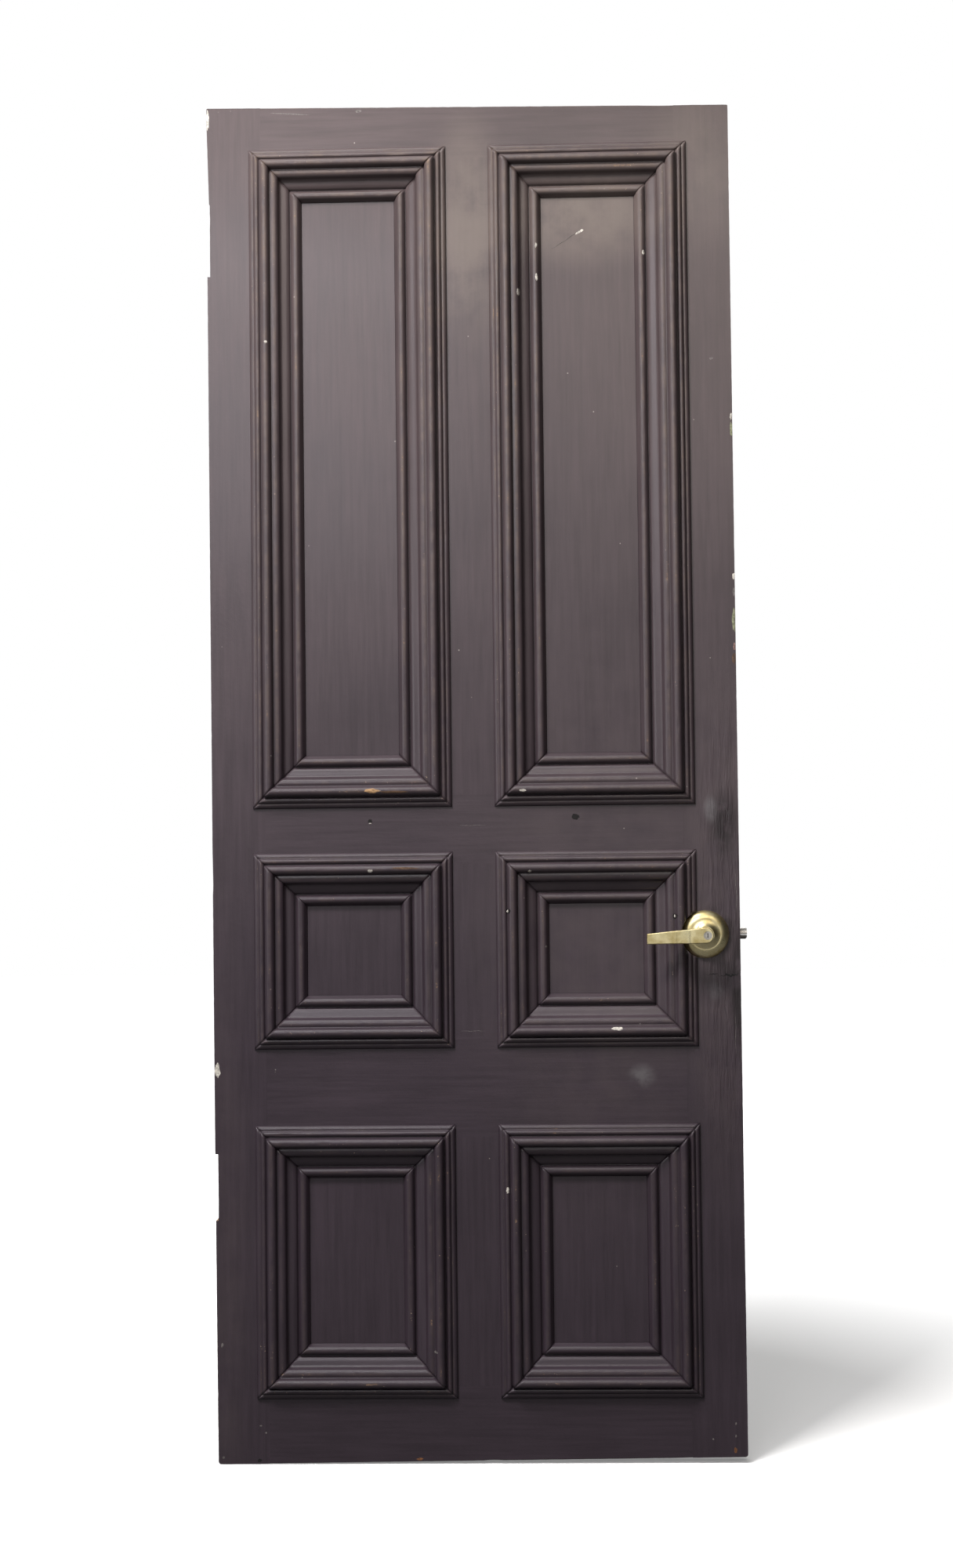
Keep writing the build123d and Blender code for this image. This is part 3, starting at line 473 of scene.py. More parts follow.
# frame of the door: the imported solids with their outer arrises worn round

arrisWear = {
    "bevel": 1.1 * mm,
    "step": 9 * mm,
    "nibble": 0.45 * mm,
    "notch": 1.6 * mm,
    "side": 0.44,               # arrises further out than this, and past foot and head, are worn
    "foot": 0.012,
    "head": 2.33,
    "sharper": math.radians(50),
    "nibbleScale": 90,
    "notchScale": 21,
    "notchFrom": 0.42,
}
hingeGains = {"x": -0.4443, "y": 0.0163, "heights": ((0.4095, 0.5265), (2.0555, 2.1865))}
lockBore = {"radius": 0.0275, "depth": 0.022}
uprightMembers = ("hinge_stile", "lock_stile", "upper_muntin", "middle_muntin", "lower_muntin")
levelMembers = ("top_rail", "upper_lock_rail", "lower_lock_rail", "bottom_rail")


def isOuterArris(edge):
    if len(edge.link_faces) != 2:
        return False
    first, second = (face.normal for face in edge.link_faces)
    if first.angle(second, 0.0) < arrisWear["sharper"]:
        return False
    flat = [abs(normal.y) > 0.9 for normal in (first, second)]
    if flat[0] == flat[1]:
        return False
    middle = (edge.verts[0].co + edge.verts[1].co) / 2
    return abs(middle.x) > arrisWear["side"] or not arrisWear["foot"] <= middle.z <= arrisWear["head"]


def isRaw(place):
    # bare wood: the two hinge gains and the inside of the bore for the lock
    inGain = place.x < hingeGains["x"] and place.y < hingeGains["y"] and any(
        low < place.z < high for low, high in hingeGains["heights"])
    off = math.hypot(place.x - lockCentre[0], place.z - lockCentre[2])
    return inGain or (off < lockBore["radius"] and abs(place.y) < lockBore["depth"])


def wornMember(name, material):
    bm = bmesh.new()
    bm.from_mesh(nodes[name].data)
    bmesh.ops.remove_doubles(bm, verts=bm.verts, dist=0.00001)
    bmesh.ops.dissolve_limit(bm, angle_limit=math.radians(0.4), verts=bm.verts, edges=bm.edges)
    bm.normal_update()
    byCuts = {}
    for edge in [edge for edge in bm.edges if isOuterArris(edge)]:
        byCuts.setdefault(int(edge.calc_length() / arrisWear["step"]), []).append(edge)
    for cuts, edges in byCuts.items():
        if cuts:
            bmesh.ops.subdivide_edges(bm, edges=edges, cuts=cuts)
    bm.normal_update()
    ridge = bm.faces.layers.float.new("ridge")
    raw = bm.faces.layers.float.new("raw")
    arrises = [edge for edge in bm.edges if isOuterArris(edge)]
    made = bmesh.ops.bevel(bm, geom=arrises, offset=arrisWear["bevel"], offset_type="OFFSET",
                           segments=3, profile=0.5, affect="EDGES", clamp_overlap=True)
    rounded = set()
    for face in made["faces"]:
        face.smooth = True
        face[ridge] = 1.0
        rounded.update(face.verts)
    for vert in rounded:
        atSide = abs(vert.co.x) > arrisWear["side"]
        inward = Vector((math.copysign(1, -vert.co.x) if atSide else 0, math.copysign(1, -vert.co.y), 0))
        if vert.co.z < arrisWear["foot"]:
            inward.z = 1
        if vert.co.z > arrisWear["head"]:
            inward.z = -1
        small = noise.noise(vert.co * arrisWear["nibbleScale"]) * 0.5 + 0.5
        deep = noise.noise(vert.co * arrisWear["notchScale"] + Vector((3, 5, 7))) - arrisWear["notchFrom"]
        vert.co += inward * (small * small * arrisWear["nibble"] + max(0.0, deep) * arrisWear["notch"])
    for face in bm.faces:
        if isRaw(face.calc_center_median()) and not face[ridge]:
            face[raw] = 1.0
    return meshPiece(name + "_worn", bm, [material], "door_leaf", "painted_pine", (name,))


leafPieces = [wornMember(name, paintUp) for name in uprightMembers]
leafPieces += [wornMember(name, paintAcross) for name in levelMembers]
print("frame members worn")


# planted mouldings, swept again from their section with softened paint-filled edges

mouldingShape = {               # in millimetres
    "columns": {"left": (-383.5, -36.85), "right": (36.85, 383.5)},
    "rows": {"lower": (105.7, 573.8), "middle": (704.8, 1043.8), "upper": (1121.3, 2279.3)},
    "width": 92.2,
    "lap": 21.3,
    "setback": 12.0,
    "face": -22.25,
    "spacing": 1.25,            # between points along the section
    "softenings": 2,
    "step": 6.0,                # between rings along the length
    "crests": ((7.4, 6.6, 2.5), (14.4, 10.8, 3.5), (29.2, 21.0, 6.0), (44.5, 11.5, 5.0), (81.0, -1.0, 4.5)),
    # places in the section darkened with painted shade: across, out of the face, reach
    "quirks": ((8.5, 5.4, 1.4), (20.3, 6.6, 2.6), (37.6, 10.5, 1.8), (71.8, -9.6, 3.4), (92.2, -12, 3.0),
               (0.0, 0.0, 2.6)),
}
mouldingWear = {
    "wave": 0.16,
    "waveScale": 9.0,
    "waveSeed": 1795626367,     # any fixed number: unseeded, the vector noise goes by the clock
    "dent": 1.1,
    "smallScale": 55,
    "smallFrom": 0.25,
    "largeScale": 17,
    "largeFrom": 0.38,
    "largeShare": 1.6,
    "mitreDip": 0.12,
    "mitreReach": 1.5,
    "proudest": -0.0001,        # in metres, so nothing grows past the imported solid
}


def arcPoints(start, middle, end, count=12):
    # points on the circle through three places
    (ax, ay), (bx, by), (cx, cy) = start, middle, end
    clockwise = (bx - ax) * (cy - ay) < (by - ay) * (cx - ax)
    double = 2 * (ax * (by - cy) + bx * (cy - ay) + cx * (ay - by))
    aa, bb, cc = ax * ax + ay * ay, bx * bx + by * by, cx * cx + cy * cy
    ux = (aa * (by - cy) + bb * (cy - ay) + cc * (ay - by)) / double
    uy = (aa * (cx - bx) + bb * (ax - cx) + cc * (bx - ax)) / double
    radius = math.hypot(ax - ux, ay - uy)
    first = math.atan2(ay - uy, ax - ux)
    last = math.atan2(cy - uy, cx - ux)
    if clockwise and last > first:
        last -= 2 * math.pi
    if not clockwise and last < first:
        last += 2 * math.pi
    return [(ux + radius * math.cos(first + (last - first) * i / count),
             uy + radius * math.sin(first + (last - first) * i / count)) for i in range(count + 1)]


def mouldingFront():
    # visible side of the section: (across, out of the face, ridge, painted shade in the quirks) in
    # millimetres
    corners = [(0, 0)]
    corners += arcPoints((0, 1.2), (3.12, 5.09), (7.8, 6.6), 8)
    corners += [(8.5, 5.4), *arcPoints((9.6, 6.9), (14.66, 10.8), (18.8, 7.8))]
    corners += [(20.34, 6.6), *arcPoints((21, 11.35), (29.84, 21.0), (36.5, 15.96), 16)]
    corners += arcPoints((38, 10.1), (45.45, 11.4), (51.8, 7.6))
    corners += [(53.2, 2.5), (54.2, 0.4), (56.2, -0.9), (60.0, -1.9), (65.0, -3.2), (69.2, -5.4)]
    corners += [(71.8, -9.6), *arcPoints((73.2, -6.5), (81.16, -1.0), (88.5, -6.5))]
    corners += [(92.2, -12.0)]
    lengths = [0.0]
    for before, after in zip(corners, corners[1:]):
        lengths.append(lengths[-1] + math.dist(before, after))
    count = round(lengths[-1] / mouldingShape["spacing"])
    points, at = [], 0
    for i in range(count + 1):
        target = lengths[-1] * i / count
        while at < len(corners) - 2 and lengths[at + 1] < target:
            at += 1
        share = (target - lengths[at]) / max(1e-9, lengths[at + 1] - lengths[at])
        points.append(tuple(a + (b - a) * share for a, b in zip(corners[at], corners[at + 1])))
    for _ in range(mouldingShape["softenings"]):
        middle = [tuple(0.25 * a + 0.5 * b + 0.25 * c for a, b, c in zip(*trio))
                  for trio in zip(points, points[1:], points[2:])]
        points = [points[0], *middle, points[-1]]
    marked = []
    for across, out in points:
        ridge = max(max(0.0, 1 - abs(across - c) / reach) * (out > high - 3)
                    for c, high, reach in mouldingShape["crests"])
        # painted shade, strongest at the quirks
        dirt = max(max(0.0, 1 - math.dist((across, out), (c, low)) / reach)
                   for c, low, reach in mouldingShape["quirks"])
        marked.append((across, out, ridge, dirt))
    return marked


mouldingPoints = mouldingFront()


def mouldingLength(row, column, side):
    shape, wear = mouldingShape, mouldingWear
    xLow, xHigh = shape["columns"][column]
    zLow, zHigh = shape["rows"][row]
    along, across, start, length = {
        "bottom": (Vector((1, 0, 0)), Vector((0, 0, 1)), (xLow, zLow), xHigh - xLow),
        "top": (Vector((-1, 0, 0)), Vector((0, 0, -1)), (xHigh, zHigh), xHigh - xLow),
        "left": (Vector((0, 0, -1)), Vector((1, 0, 0)), (xLow, zHigh), zHigh - zLow),
        "right": (Vector((0, 0, 1)), Vector((-1, 0, 0)), (xHigh, zLow), zHigh - zLow),
    }[side]
    origin = Vector((start[0], shape["face"], start[1]))
    out = Vector((0, -1, 0))
    back = [(shape["lap"], -shape["setback"], 0, 0), (shape["lap"], 0, 0, 0)]
    profile = mouldingPoints + back
    rings = max(8, round(length / shape["step"]))
    bm = bmesh.new()
    ridgeLayer = bm.verts.layers.float.new("ridge")
    # painted shade in the quirks, kept on each vertex
    dirtLayer = bm.verts.layers.float.new("dirt")
    grid = []
    for ring in range(rings + 1):
        share = ring / rings
        ends = min(share, 1 - share) * length
        dip = wear["mitreDip"] * max(0.0, 1 - ends / wear["mitreReach"])
        section = []
        for width, height, ridge, dirt in profile:
            place = origin + across * width + out * height + along * (width + share * (length - 2 * width))
            place = place * mm
            if width not in (0, shape["width"], shape["lap"]):
                shift = noise.noise_vector(place * wear["waveScale"]) * wear["wave"] * mm
                dent = max(0.0, noise.noise(place * wear["smallScale"]) - wear["smallFrom"]) * ridge
                large = noise.noise(place * wear["largeScale"] + Vector((9, 2, 4))) - wear["largeFrom"]
                dent += max(0.0, large) * wear["largeShare"] * ridge
                shift -= out * (dent * wear["dent"] + dip) * mm
                shift.y = max(shift.y, wear["proudest"])
                place += shift
            vert = bm.verts.new(place)
            vert[ridgeLayer] = ridge
            vert[dirtLayer] = dirt
            section.append(vert)
        grid.append(section)
    count = len(profile)
    for before, after in zip(grid, grid[1:]):
        for i in range(count):
            j = (i + 1) % count
            face = bm.faces.new((before[i], before[j], after[j], after[i]))
            face.smooth = i < len(mouldingPoints) - 1
    bm.faces.new(grid[0][::-1])
    bm.faces.new(grid[-1])
    bmesh.ops.recalc_face_normals(bm, faces=bm.faces)
    return bm


roseBite = {"radius": 0.0418, "from": -0.06, "to": -0.02225}


def biteForRose(piece, bite):
    # take the room for the rose out of a moulding, through a modifier that is then applied
    cutterMesh = bpy.data.meshes.new("roseBite")
    bm = bmesh.new()
    bmesh.ops.create_cone(bm, cap_ends=True, segments=96, radius1=bite["radius"], radius2=bite["radius"],
                          depth=bite["to"] - bite["from"])
    middle = Vector((lockCentre[0], (bite["from"] + bite["to"]) / 2, lockCentre[2]))
    turn = Matrix.Translation(middle) @ Matrix.Rotation(math.pi / 2, 4, "X")
    bmesh.ops.transform(bm, matrix=turn, verts=bm.verts)
    bm.to_mesh(cutterMesh)
    bm.free()
    cutter = bpy.data.objects.new("roseBite", cutterMesh)
    scene.collection.objects.link(cutter)
    modifier = piece.modifiers.new("bite", "BOOLEAN")
    modifier.operation = "DIFFERENCE"
    modifier.solver = "EXACT"
    modifier.object = cutter
    bpy.context.view_layer.update()
    cut = bpy.data.meshes.new_from_object(piece.evaluated_get(bpy.context.evaluated_depsgraph_get()))
    piece.modifiers.remove(modifier)
    old = piece.data
    piece.data = cut
    bpy.data.meshes.remove(old)
    bpy.data.objects.remove(cutter)


noise.seed_set(mouldingWear["waveSeed"])
for row in mouldingShape["rows"]:
    for column in mouldingShape["columns"]:
        for side in ("top", "bottom", "left", "right"):
            name = f"{row}_{column}_moulding_{side}"
            material = paintAcross if side in ("top", "bottom") else paintUp
            bm = mouldingLength(row, column, side)
            piece = meshPiece(name + "_worn", bm, [material], "door_leaf", "painted_pine", (name,))
            if name == "middle_right_moulding_right":
                biteForRose(piece, roseBite)
            leafPieces.append(piece)
print("mouldings swept")


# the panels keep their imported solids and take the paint

panels = [node for name, node in nodes.items() if name.endswith("_panel")]
for panel in panels:
    panel.data.materials.clear()
    panel.data.materials.append(paintUp)


# lockset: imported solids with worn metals

metalParts = (
    (brass, ("outside_rose", "inside_rose", "outside_lever", "inside_lever", "turn_button")),
    (nickel, ("key_cylinder", "key_plug")),
    (steel, ("outside_spring_cage", "inside_spring_cage", "lock_chassis", "latch_tube", "outside_spindle",
             "inside_spindle", "lever_springs", "latch_spring", "retractor", "latch_bolt",
             "deadlatch_plunger", "latch_faceplate", "faceplate_screws", "through_screws")),
)
for material, names in metalParts:
    for name in names:
        nodes[name].data.materials.clear()
        nodes[name].data.materials.append(material)

screwThreads = {
    "faceplate_screws": {
        "along": Vector((1, 0, 0)), "centre": (0.0, 0.0, lockCentre[2]), "offset": 20.65 * mm,
        "from": 438.8 * mm, "to": 452.0 * mm, "radius": 2.1 * mm, "pitch": 1.5 * mm, "depth": 0.35 * mm,
        "sunk": 0.1 * mm, "steps": 18,
    },
    "through_screws": {
        "along": Vector((0, 1, 0)), "centre": lockCentre, "offset": 23.9 * mm,
        "from": -24.0 * mm, "to": -4.0 * mm, "radius": 1.9 * mm, "pitch": 0.8 * mm, "depth": 0.2 * mm,
        "sunk": 0.1 * mm, "steps": 18,
    },
}


def addThread(bm, centre, shape):
    # a ridge wound round the shank, sunk a little way into it
    along, stepCount = shape["along"], shape["steps"]
    first = along.orthogonal().normalized()
    second = along.cross(first)
    turns = (shape["to"] - shape["from"]) / shape["pitch"]
    rings = []
    for i in range(int(turns * stepCount) + 1):
        angle = math.tau * i / stepCount
        outward = first * math.cos(angle) + second * math.sin(angle)
        height = shape["from"] + shape["pitch"] * i / stepCount
        fade = min(1.0, i / stepCount, (turns * stepCount - i) / stepCount)
        inner = centre + outward * (shape["radius"] - shape["sunk"])
        crest = centre + outward * (shape["radius"] + shape["depth"] * fade)
        side = 0.36 * shape["pitch"]
        rings.append([bm.verts.new(inner + along * (height - side)), bm.verts.new(crest + along * height),
                      bm.verts.new(inner + along * (height + side))])
    for before, after in zip(rings, rings[1:]):
        for k in range(3):
            bm.faces.new((before[k], before[(k + 1) % 3], after[(k + 1) % 3], after[k]))
    bm.faces.new(rings[0][::-1])
    bm.faces.new(rings[-1])


for name, shape in screwThreads.items():
    bm = bmesh.new()
    bm.from_mesh(nodes[name].data)
    bmesh.ops.remove_doubles(bm, verts=bm.verts, dist=0.000002)
    for side in (-1, 1):
        addThread(bm, Vector(shape["centre"]) + Vector((0, 0, side * shape["offset"])), shape)
    bmesh.ops.recalc_face_normals(bm, faces=bm.faces)
    meshPiece(name + "_threaded", bm, [steel], "door_leaf", "plated_steel", (name,))


latchCoil = {"wire": 0.9 * mm, "turns": 4.5, "perTurn": 28, "around": 10, "boltTravel": 12.7 * mm}


def coilPiece(node, name, shape):
    # the spring behind the bolt, wound again as a coil of wire
    low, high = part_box(node)
    half = 0.5 * shape["wire"]
    radius, start, end = 0.5 * (high.z - low.z) - half, low.x + half, high.x - half
    steps = round(shape["turns"] * shape["perTurn"])
    spokes = [math.tau * k / shape["around"] for k in range(shape["around"])]
    rings = []
    bm = bmesh.new()
    for i in range(steps + 1):
        angle = math.tau * shape["turns"] * i / steps
        out = Vector((0, math.cos(angle), math.sin(angle)))
        along = Vector(((end - start) / (math.tau * shape["turns"]), -math.sin(angle) * radius,
                        math.cos(angle) * radius)).normalized()
        across = along.cross(out)
        middle = Vector((start + (end - start) * i / steps, 0.5 * (low.y + high.y), 0.5 * (low.z + high.z)))
        middle += out * radius
        rings.append([bm.verts.new(middle + half * (math.cos(a) * out + math.sin(a) * across))
                      for a in spokes])
    for before, after in zip(rings, rings[1:]):
        for k in range(shape["around"]):
            following = (k + 1) % shape["around"]
            bm.faces.new((before[k], before[following], after[following], after[k])).smooth = True
    bm.faces.new(rings[0])
    bm.faces.new(rings[-1][::-1])
    bmesh.ops.recalc_face_normals(bm, faces=bm.faces)
    piece = meshPiece(name, bm, [steel], "door_leaf", "plated_steel", (node,))
    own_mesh(piece)


coilPiece("latch_spring", "latch_spring_coil", latchCoil)
print("lockset dressed")


# chips and marks, laid on whatever surface lies behind their place

chipList = [                                  # kind, x, z, half width, half height in mm, tilt in degrees
    ("primer", -455, 2336, 2.6, 17.0, 0),
    ("grey", -313, 2343, 38.2, 0.9, -4),
    ("grey", -189, 2345, 5.8, 2.6, 0),
    ("primer", -353, 1935, 2.6, 2.6, 0),
    ("primer", 197, 2127, 8.2, 2.2, 30),
    ("primer", 120, 2102, 1.9, 5.0, 0),
    ("primer", 120, 2045, 2.4, 5.8, 0),
    ("primer", 88, 2017, 2.8, 5.8, 0),
    ("primer", 307, 2085, 2.4, 4.6, 0),
    ("grey", 422, 1896, 3.4, 2.2, 0),
    ("primer", 455, 1794, 2.4, 6.2, 0),
    ("olive", 455, 1772, 2.2, 12.7, 0),
    ("primer", 455, 1515, 2.4, 5.8, 0),
    ("grey", 455, 1488, 2.2, 7.2, 0),
    ("olive", 455, 1439, 3.4, 20.5, 0),
    ("pink", 455, 1393, 2.8, 7.4, 0),
    ("brown", 454, 1372, 4.0, 10.9, 0),
    ("pine", -174, 1150, 13.7, 4.2, 0),
    ("brown", -136, 1148, 25.0, 2.6, 0),
    ("primer", 86, 1148, 6.2, 2.4, 0),
    ("dark", -180, 1098.6, 3.6, 3.4, 0),
    ("primer", -180, 1094.4, 2.6, 0.9, 0),
    ("dark", 176, 1102, 6.8, 4.6, -20),
    ("primer", -179, 1012, 4.6, 2.6, 0),
    ("brown", -118, 1016, 24.0, 2.2, 0),
    ("primer", 96, 1009, 3.6, 2.2, 0),
    ("primer", 243, 738, 10.0, 3.4, 0),
    ("grey", 123, 878, 2.0, 2.0, 0),
    ("grey", 365, 866, 2.4, 2.4, 0),
    ("primer", -449, 669, 4.8, 13.7, 0),
    ("primer", 52, 462, 2.8, 5.4, 0),
    ("grey", -74, 188, 3.6, 2.2, 0),
    ("grey", -444, 198, 2.2, 3.6, 0),
    ("grey", -378, 60, 2.2, 1.6, 0),
    ("grey", -369, 48, 1.6, 1.6, 0),
    ("grey", -443, 6, 2.2, 2.2, 0),
    ("rust", -104, 3, 6.1, 2.0, 0),
    ("dark", -380, 1, 3.4, 3.0, 0),
    ("grey", 398, 36, 1.6, 1.6, 0),
    ("grey", 437, 62, 1.6, 2.2, 0),
    ("grey", 437, 41, 1.6, 2.2, 0),
    ("rust", 436, 17, 2.2, 4.5, 0),
]
lineList = [                                  # kind, width in mm, then places (x, z) along it
    ("dark", 3.2, (397, 829), (405, 827.5), (414, 829.5), (421, 826), (432, 827), (441, 824.5), (449, 827),
     (454, 830)),
    ("grey", 0.8, (-24, 1089.4), (-8, 1088.6), (6, 1089.3), (20, 1088.8)),
    ("grey", 0.8, (-27, 734.5), (-10, 733.8), (4, 734.4), (17, 734)),
    ("scratch", 1.0, (146, 2096), (160, 2105), (172, 2112), (188, 2123), (201, 2131)),
    ("scuff", 1.0, (418, 1128), (430, 1122), (438, 1109), (441, 1094)),
    ("grey", 0.9, (452, 1012), (450, 985), (452.5, 962), (450.5, 930)),
    ("grey", 0.7, (446, 758), (447.5, 735), (446, 712), (448, 690)),
    ("scratch", 1.1, (431, 800), (429, 772), (431.5, 744), (430, 716)),
]
chipShape = {"rings": 4, "spokes": 22, "lift": 0.13 * mm, "inner": 0.6, "sink": 0.03 * mm, "ragged": 0.45,
             "raggedScale": 1.9}
lineShape = {"lift": 0.1 * mm, "steps": 6, "uneven": 0.7}
nails = {"places": ((58, 940), (345, 929)), "radius": 2.6 * mm, "height": 0.8 * mm, "spokes": 16,
         "dome": ((0.45, 0.92), (0.8, 0.62), (1.0, 0.2), (1.0, -0.8)), "surround": (4.6, 4.2)}


def leafSurface():
    joined = bmesh.new()
    for piece in leafPieces + panels:
        joined.from_mesh(piece.data)
    bmesh.ops.triangulate(joined, faces=joined.faces)
    tree = BVHTree.FromBMesh(joined)
    joined.free()
    return tree


surface = leafSurface()


def onSurface(x, z, lift):
    hit, normal, _, _ = surface.ray_cast(Vector((x, -0.3, z)), Vector((0, 1, 0)))
    if hit is None or hit.y > 0:
        hit, normal, _, _ = surface.find_nearest(Vector((x, -0.0215, z)))
    if normal.y > 0:
        normal = -normal
    return hit + normal * lift


def closedRings(bm, centre, rings):
    # faces of a low cap: a fan round the centre, then bands from ring to ring
    count = len(rings[0])
    faces = [bm.faces.new((centre, rings[0][i], rings[0][(i + 1) % count])) for i in range(count)]
    for inner, outer in zip(rings, rings[1:]):
        for i in range(count):
            j = (i + 1) % count
            faces.append(bm.faces.new((inner[i], outer[i], outer[j], inner[j])))
    for face in faces:
        face.smooth = True
    return faces


def chipPatch(bm, x, z, halfWidth, halfHeight, tilt, seed):
    turn = math.radians(tilt)
    centre = bm.verts.new(onSurface(x * mm, z * mm, chipShape["lift"] * chipShape["inner"]))
    rings = []
    for ring in range(1, chipShape["rings"] + 1):
        share = ring / chipShape["rings"]
        lift = chipShape["lift"] * (chipShape["inner"] if ring < chipShape["rings"] - 1 else 1.0)
        if ring == chipShape["rings"]:
            lift = -chipShape["sink"]
        verts = []
        for spoke in range(chipShape["spokes"]):
            angle = math.tau * spoke / chipShape["spokes"]
            wide = chipShape["raggedScale"]
            ragged = 1 + chipShape["ragged"] * noise.noise(
                Vector((math.cos(angle) * wide, math.sin(angle) * wide, seed * 3.1)))
            across = math.cos(angle) * halfWidth * share * ragged
            up = math.sin(angle) * halfHeight * share * ragged
            px = x + across * math.cos(turn) - up * math.sin(turn)
            pz = z + across * math.sin(turn) + up * math.cos(turn)
            verts.append(bm.verts.new(onSurface(px * mm, pz * mm, lift)))
        rings.append(verts)
    return closedRings(bm, centre, rings)


def chipLine(bm, width, places, seed):
    # a crack or scratch: a narrow strip with an uneven width, along a few places
    steps = lineShape["steps"]
    path = [Vector((a[0] + (b[0] - a[0]) * i / steps, a[1] + (b[1] - a[1]) * i / steps))
            for a, b in zip(places, places[1:]) for i in range(steps)] + [Vector(places[-1])]
    rows = []
    for i, place in enumerate(path):
        ahead = path[min(i + 1, len(path) - 1)] - path[max(i - 1, 0)]
        side = Vector((-ahead.y, ahead.x)).normalized()
        taper = min(1.0, 4 * min(i, len(path) - 1 - i) / len(path) + 0.12)
        wobble = noise.noise(Vector((i * 0.37, seed * 2.3, 0.5)))
        half = 0.5 * width * taper * (1 + lineShape["uneven"] * wobble)
        place = place + side * wobble * width
        verts = []
        for edge, lift in ((-1, -chipShape["sink"]), (0, lineShape["lift"]), (1, -chipShape["sink"])):
            at = (place + side * half * edge) * mm
            verts.append(bm.verts.new(onSurface(at.x, at.y, lift)))
        rows.append(verts)
    return [bm.faces.new((before[k], before[k + 1], after[k + 1], after[k]))
            for before, after in zip(rows, rows[1:]) for k in range(2)]


def nailHead(bm, x, z):
    # the low dome of a nail driven through the moulding
    middle = onSurface(x * mm, z * mm, 0)
    out = Vector((0, -1, 0)) * nails["height"]
    spokes = [math.tau * i / nails["spokes"] for i in range(nails["spokes"])]
    top = bm.verts.new(middle + out)
    rings = []
    for share, rise in nails["dome"]:
        reach = nails["radius"] * share
        rings.append([bm.verts.new(middle + out * rise + Vector((math.cos(a), 0, math.sin(a))) * reach)
                      for a in spokes])
    return closedRings(bm, top, rings)


kinds = sorted(chipMaterials)
chips = bmesh.new()
for seed, (kind, x, z, halfWidth, halfHeight, tilt) in enumerate(chipList):
    for face in chipPatch(chips, x, z, halfWidth, halfHeight, tilt, seed):
        face.material_index = kinds.index(kind)
for seed, (kind, width, *places) in enumerate(lineList):
    for face in chipLine(chips, width, places, seed):
        face.material_index = kinds.index(kind)
for x, z in nails["places"]:
    for face in chipPatch(chips, x, z, *nails["surround"], 0, x):
        face.material_index = kinds.index("dark")
    for face in nailHead(chips, x, z):
        face.material_index = kinds.index("primer")
bmesh.ops.recalc_face_normals(chips, faces=chips.faces)
meshPiece("paint_chips", chips, [chipMaterials[kind] for kind in kinds], "door_leaf", "painted_pine")
print("chips laid")


# flecks of bare primer scattered along the worn ridges with Geometry Nodes

fleckLooks = {"density": 26000.0, "size": 0.8 * mm, "thickness": 0.16, "seed": 11}


def linkNode(tree, kind, links, **settings):
    node = addNode(tree, kind, **settings)
    for socket, value in links.items():
        if isinstance(value, bpy.types.NodeSocket):
            tree.links.new(value, node.inputs[socket])
        else:
            node.inputs[socket].default_value = value
    return node


def fleckTree(material):
    tree = bpy.data.node_groups.new("ridgeFlecks", "GeometryNodeTree")
    for name, kind in (("Geometry", "Geometry"), ("Density", "Float"), ("Size", "Float"),
                       ("Thickness", "Float"), ("Seed", "Int")):
        tree.interface.new_socket(name, in_out="INPUT", socket_type="NodeSocket" + kind)
    tree.interface.new_socket("Geometry", in_out="OUTPUT", socket_type="NodeSocketGeometry")
    given = tree.nodes.new("NodeGroupInput").outputs
    ridge = linkNode(tree, "GeometryNodeInputNamedAttribute", {"Name": "ridge"},
                     data_type="FLOAT").outputs["Attribute"]
    patches = linkNode(tree, "ShaderNodeTexNoise",
                       {"Scale": 6.5, "Detail": 4.0, "Roughness": 0.7}).outputs["Fac"]
    chance = mathNode(tree, "MULTIPLY", mathNode(tree, "POWER", ridge, 3.0),
                      mathNode(tree, "MULTIPLY_ADD", patches, 5.0, -2.6, clamp=True))
    points = linkNode(tree, "GeometryNodeDistributePointsOnFaces", {
        "Mesh": given["Geometry"], "Density": mathNode(tree, "MULTIPLY", chance, given["Density"]),
        "Seed": given["Seed"]}).outputs
    spin = linkNode(tree, "FunctionNodeRandomValue", {1: (0, 0, math.tau), "Seed": given["Seed"]},
                    data_type="FLOAT_VECTOR").outputs["Value"]
    turned = linkNode(tree, "FunctionNodeRotateRotation",
                      {"Rotation": points["Rotation"], "Rotate By": spin},
                      rotation_space="LOCAL").outputs["Rotation"]
    spread = linkNode(tree, "FunctionNodeRandomValue",
                      {0: (0.5, 0.3, 1.0), 1: (1.6, 0.9, 1.0), "Seed": given["Seed"]},
                      data_type="FLOAT_VECTOR").outputs["Value"]
    flat = linkNode(tree, "ShaderNodeCombineXYZ", {"X": 1.0, "Y": 1.0, "Z": given["Thickness"]}).outputs[0]
    wide = linkNode(tree, "ShaderNodeVectorMath", {0: spread, 1: flat}, operation="MULTIPLY").outputs[0]
    scale = linkNode(tree, "ShaderNodeVectorMath", {0: wide, "Scale": given["Size"]},
                     operation="SCALE").outputs[0]
    flake = linkNode(tree, "GeometryNodeMeshIcoSphere", {"Radius": 1.0, "Subdivisions": 1}).outputs["Mesh"]
    placed = linkNode(tree, "GeometryNodeInstanceOnPoints", {
        "Points": points["Points"], "Instance": flake, "Rotation": turned, "Scale": scale})
    real = linkNode(tree, "GeometryNodeRealizeInstances", {"Geometry": placed.outputs["Instances"]})
    dressed = linkNode(tree, "GeometryNodeSetMaterial",
                       {"Geometry": real.outputs["Geometry"], "Material": material})
    tree.links.new(dressed.outputs["Geometry"], tree.nodes.new("NodeGroupOutput").inputs["Geometry"])
    return tree


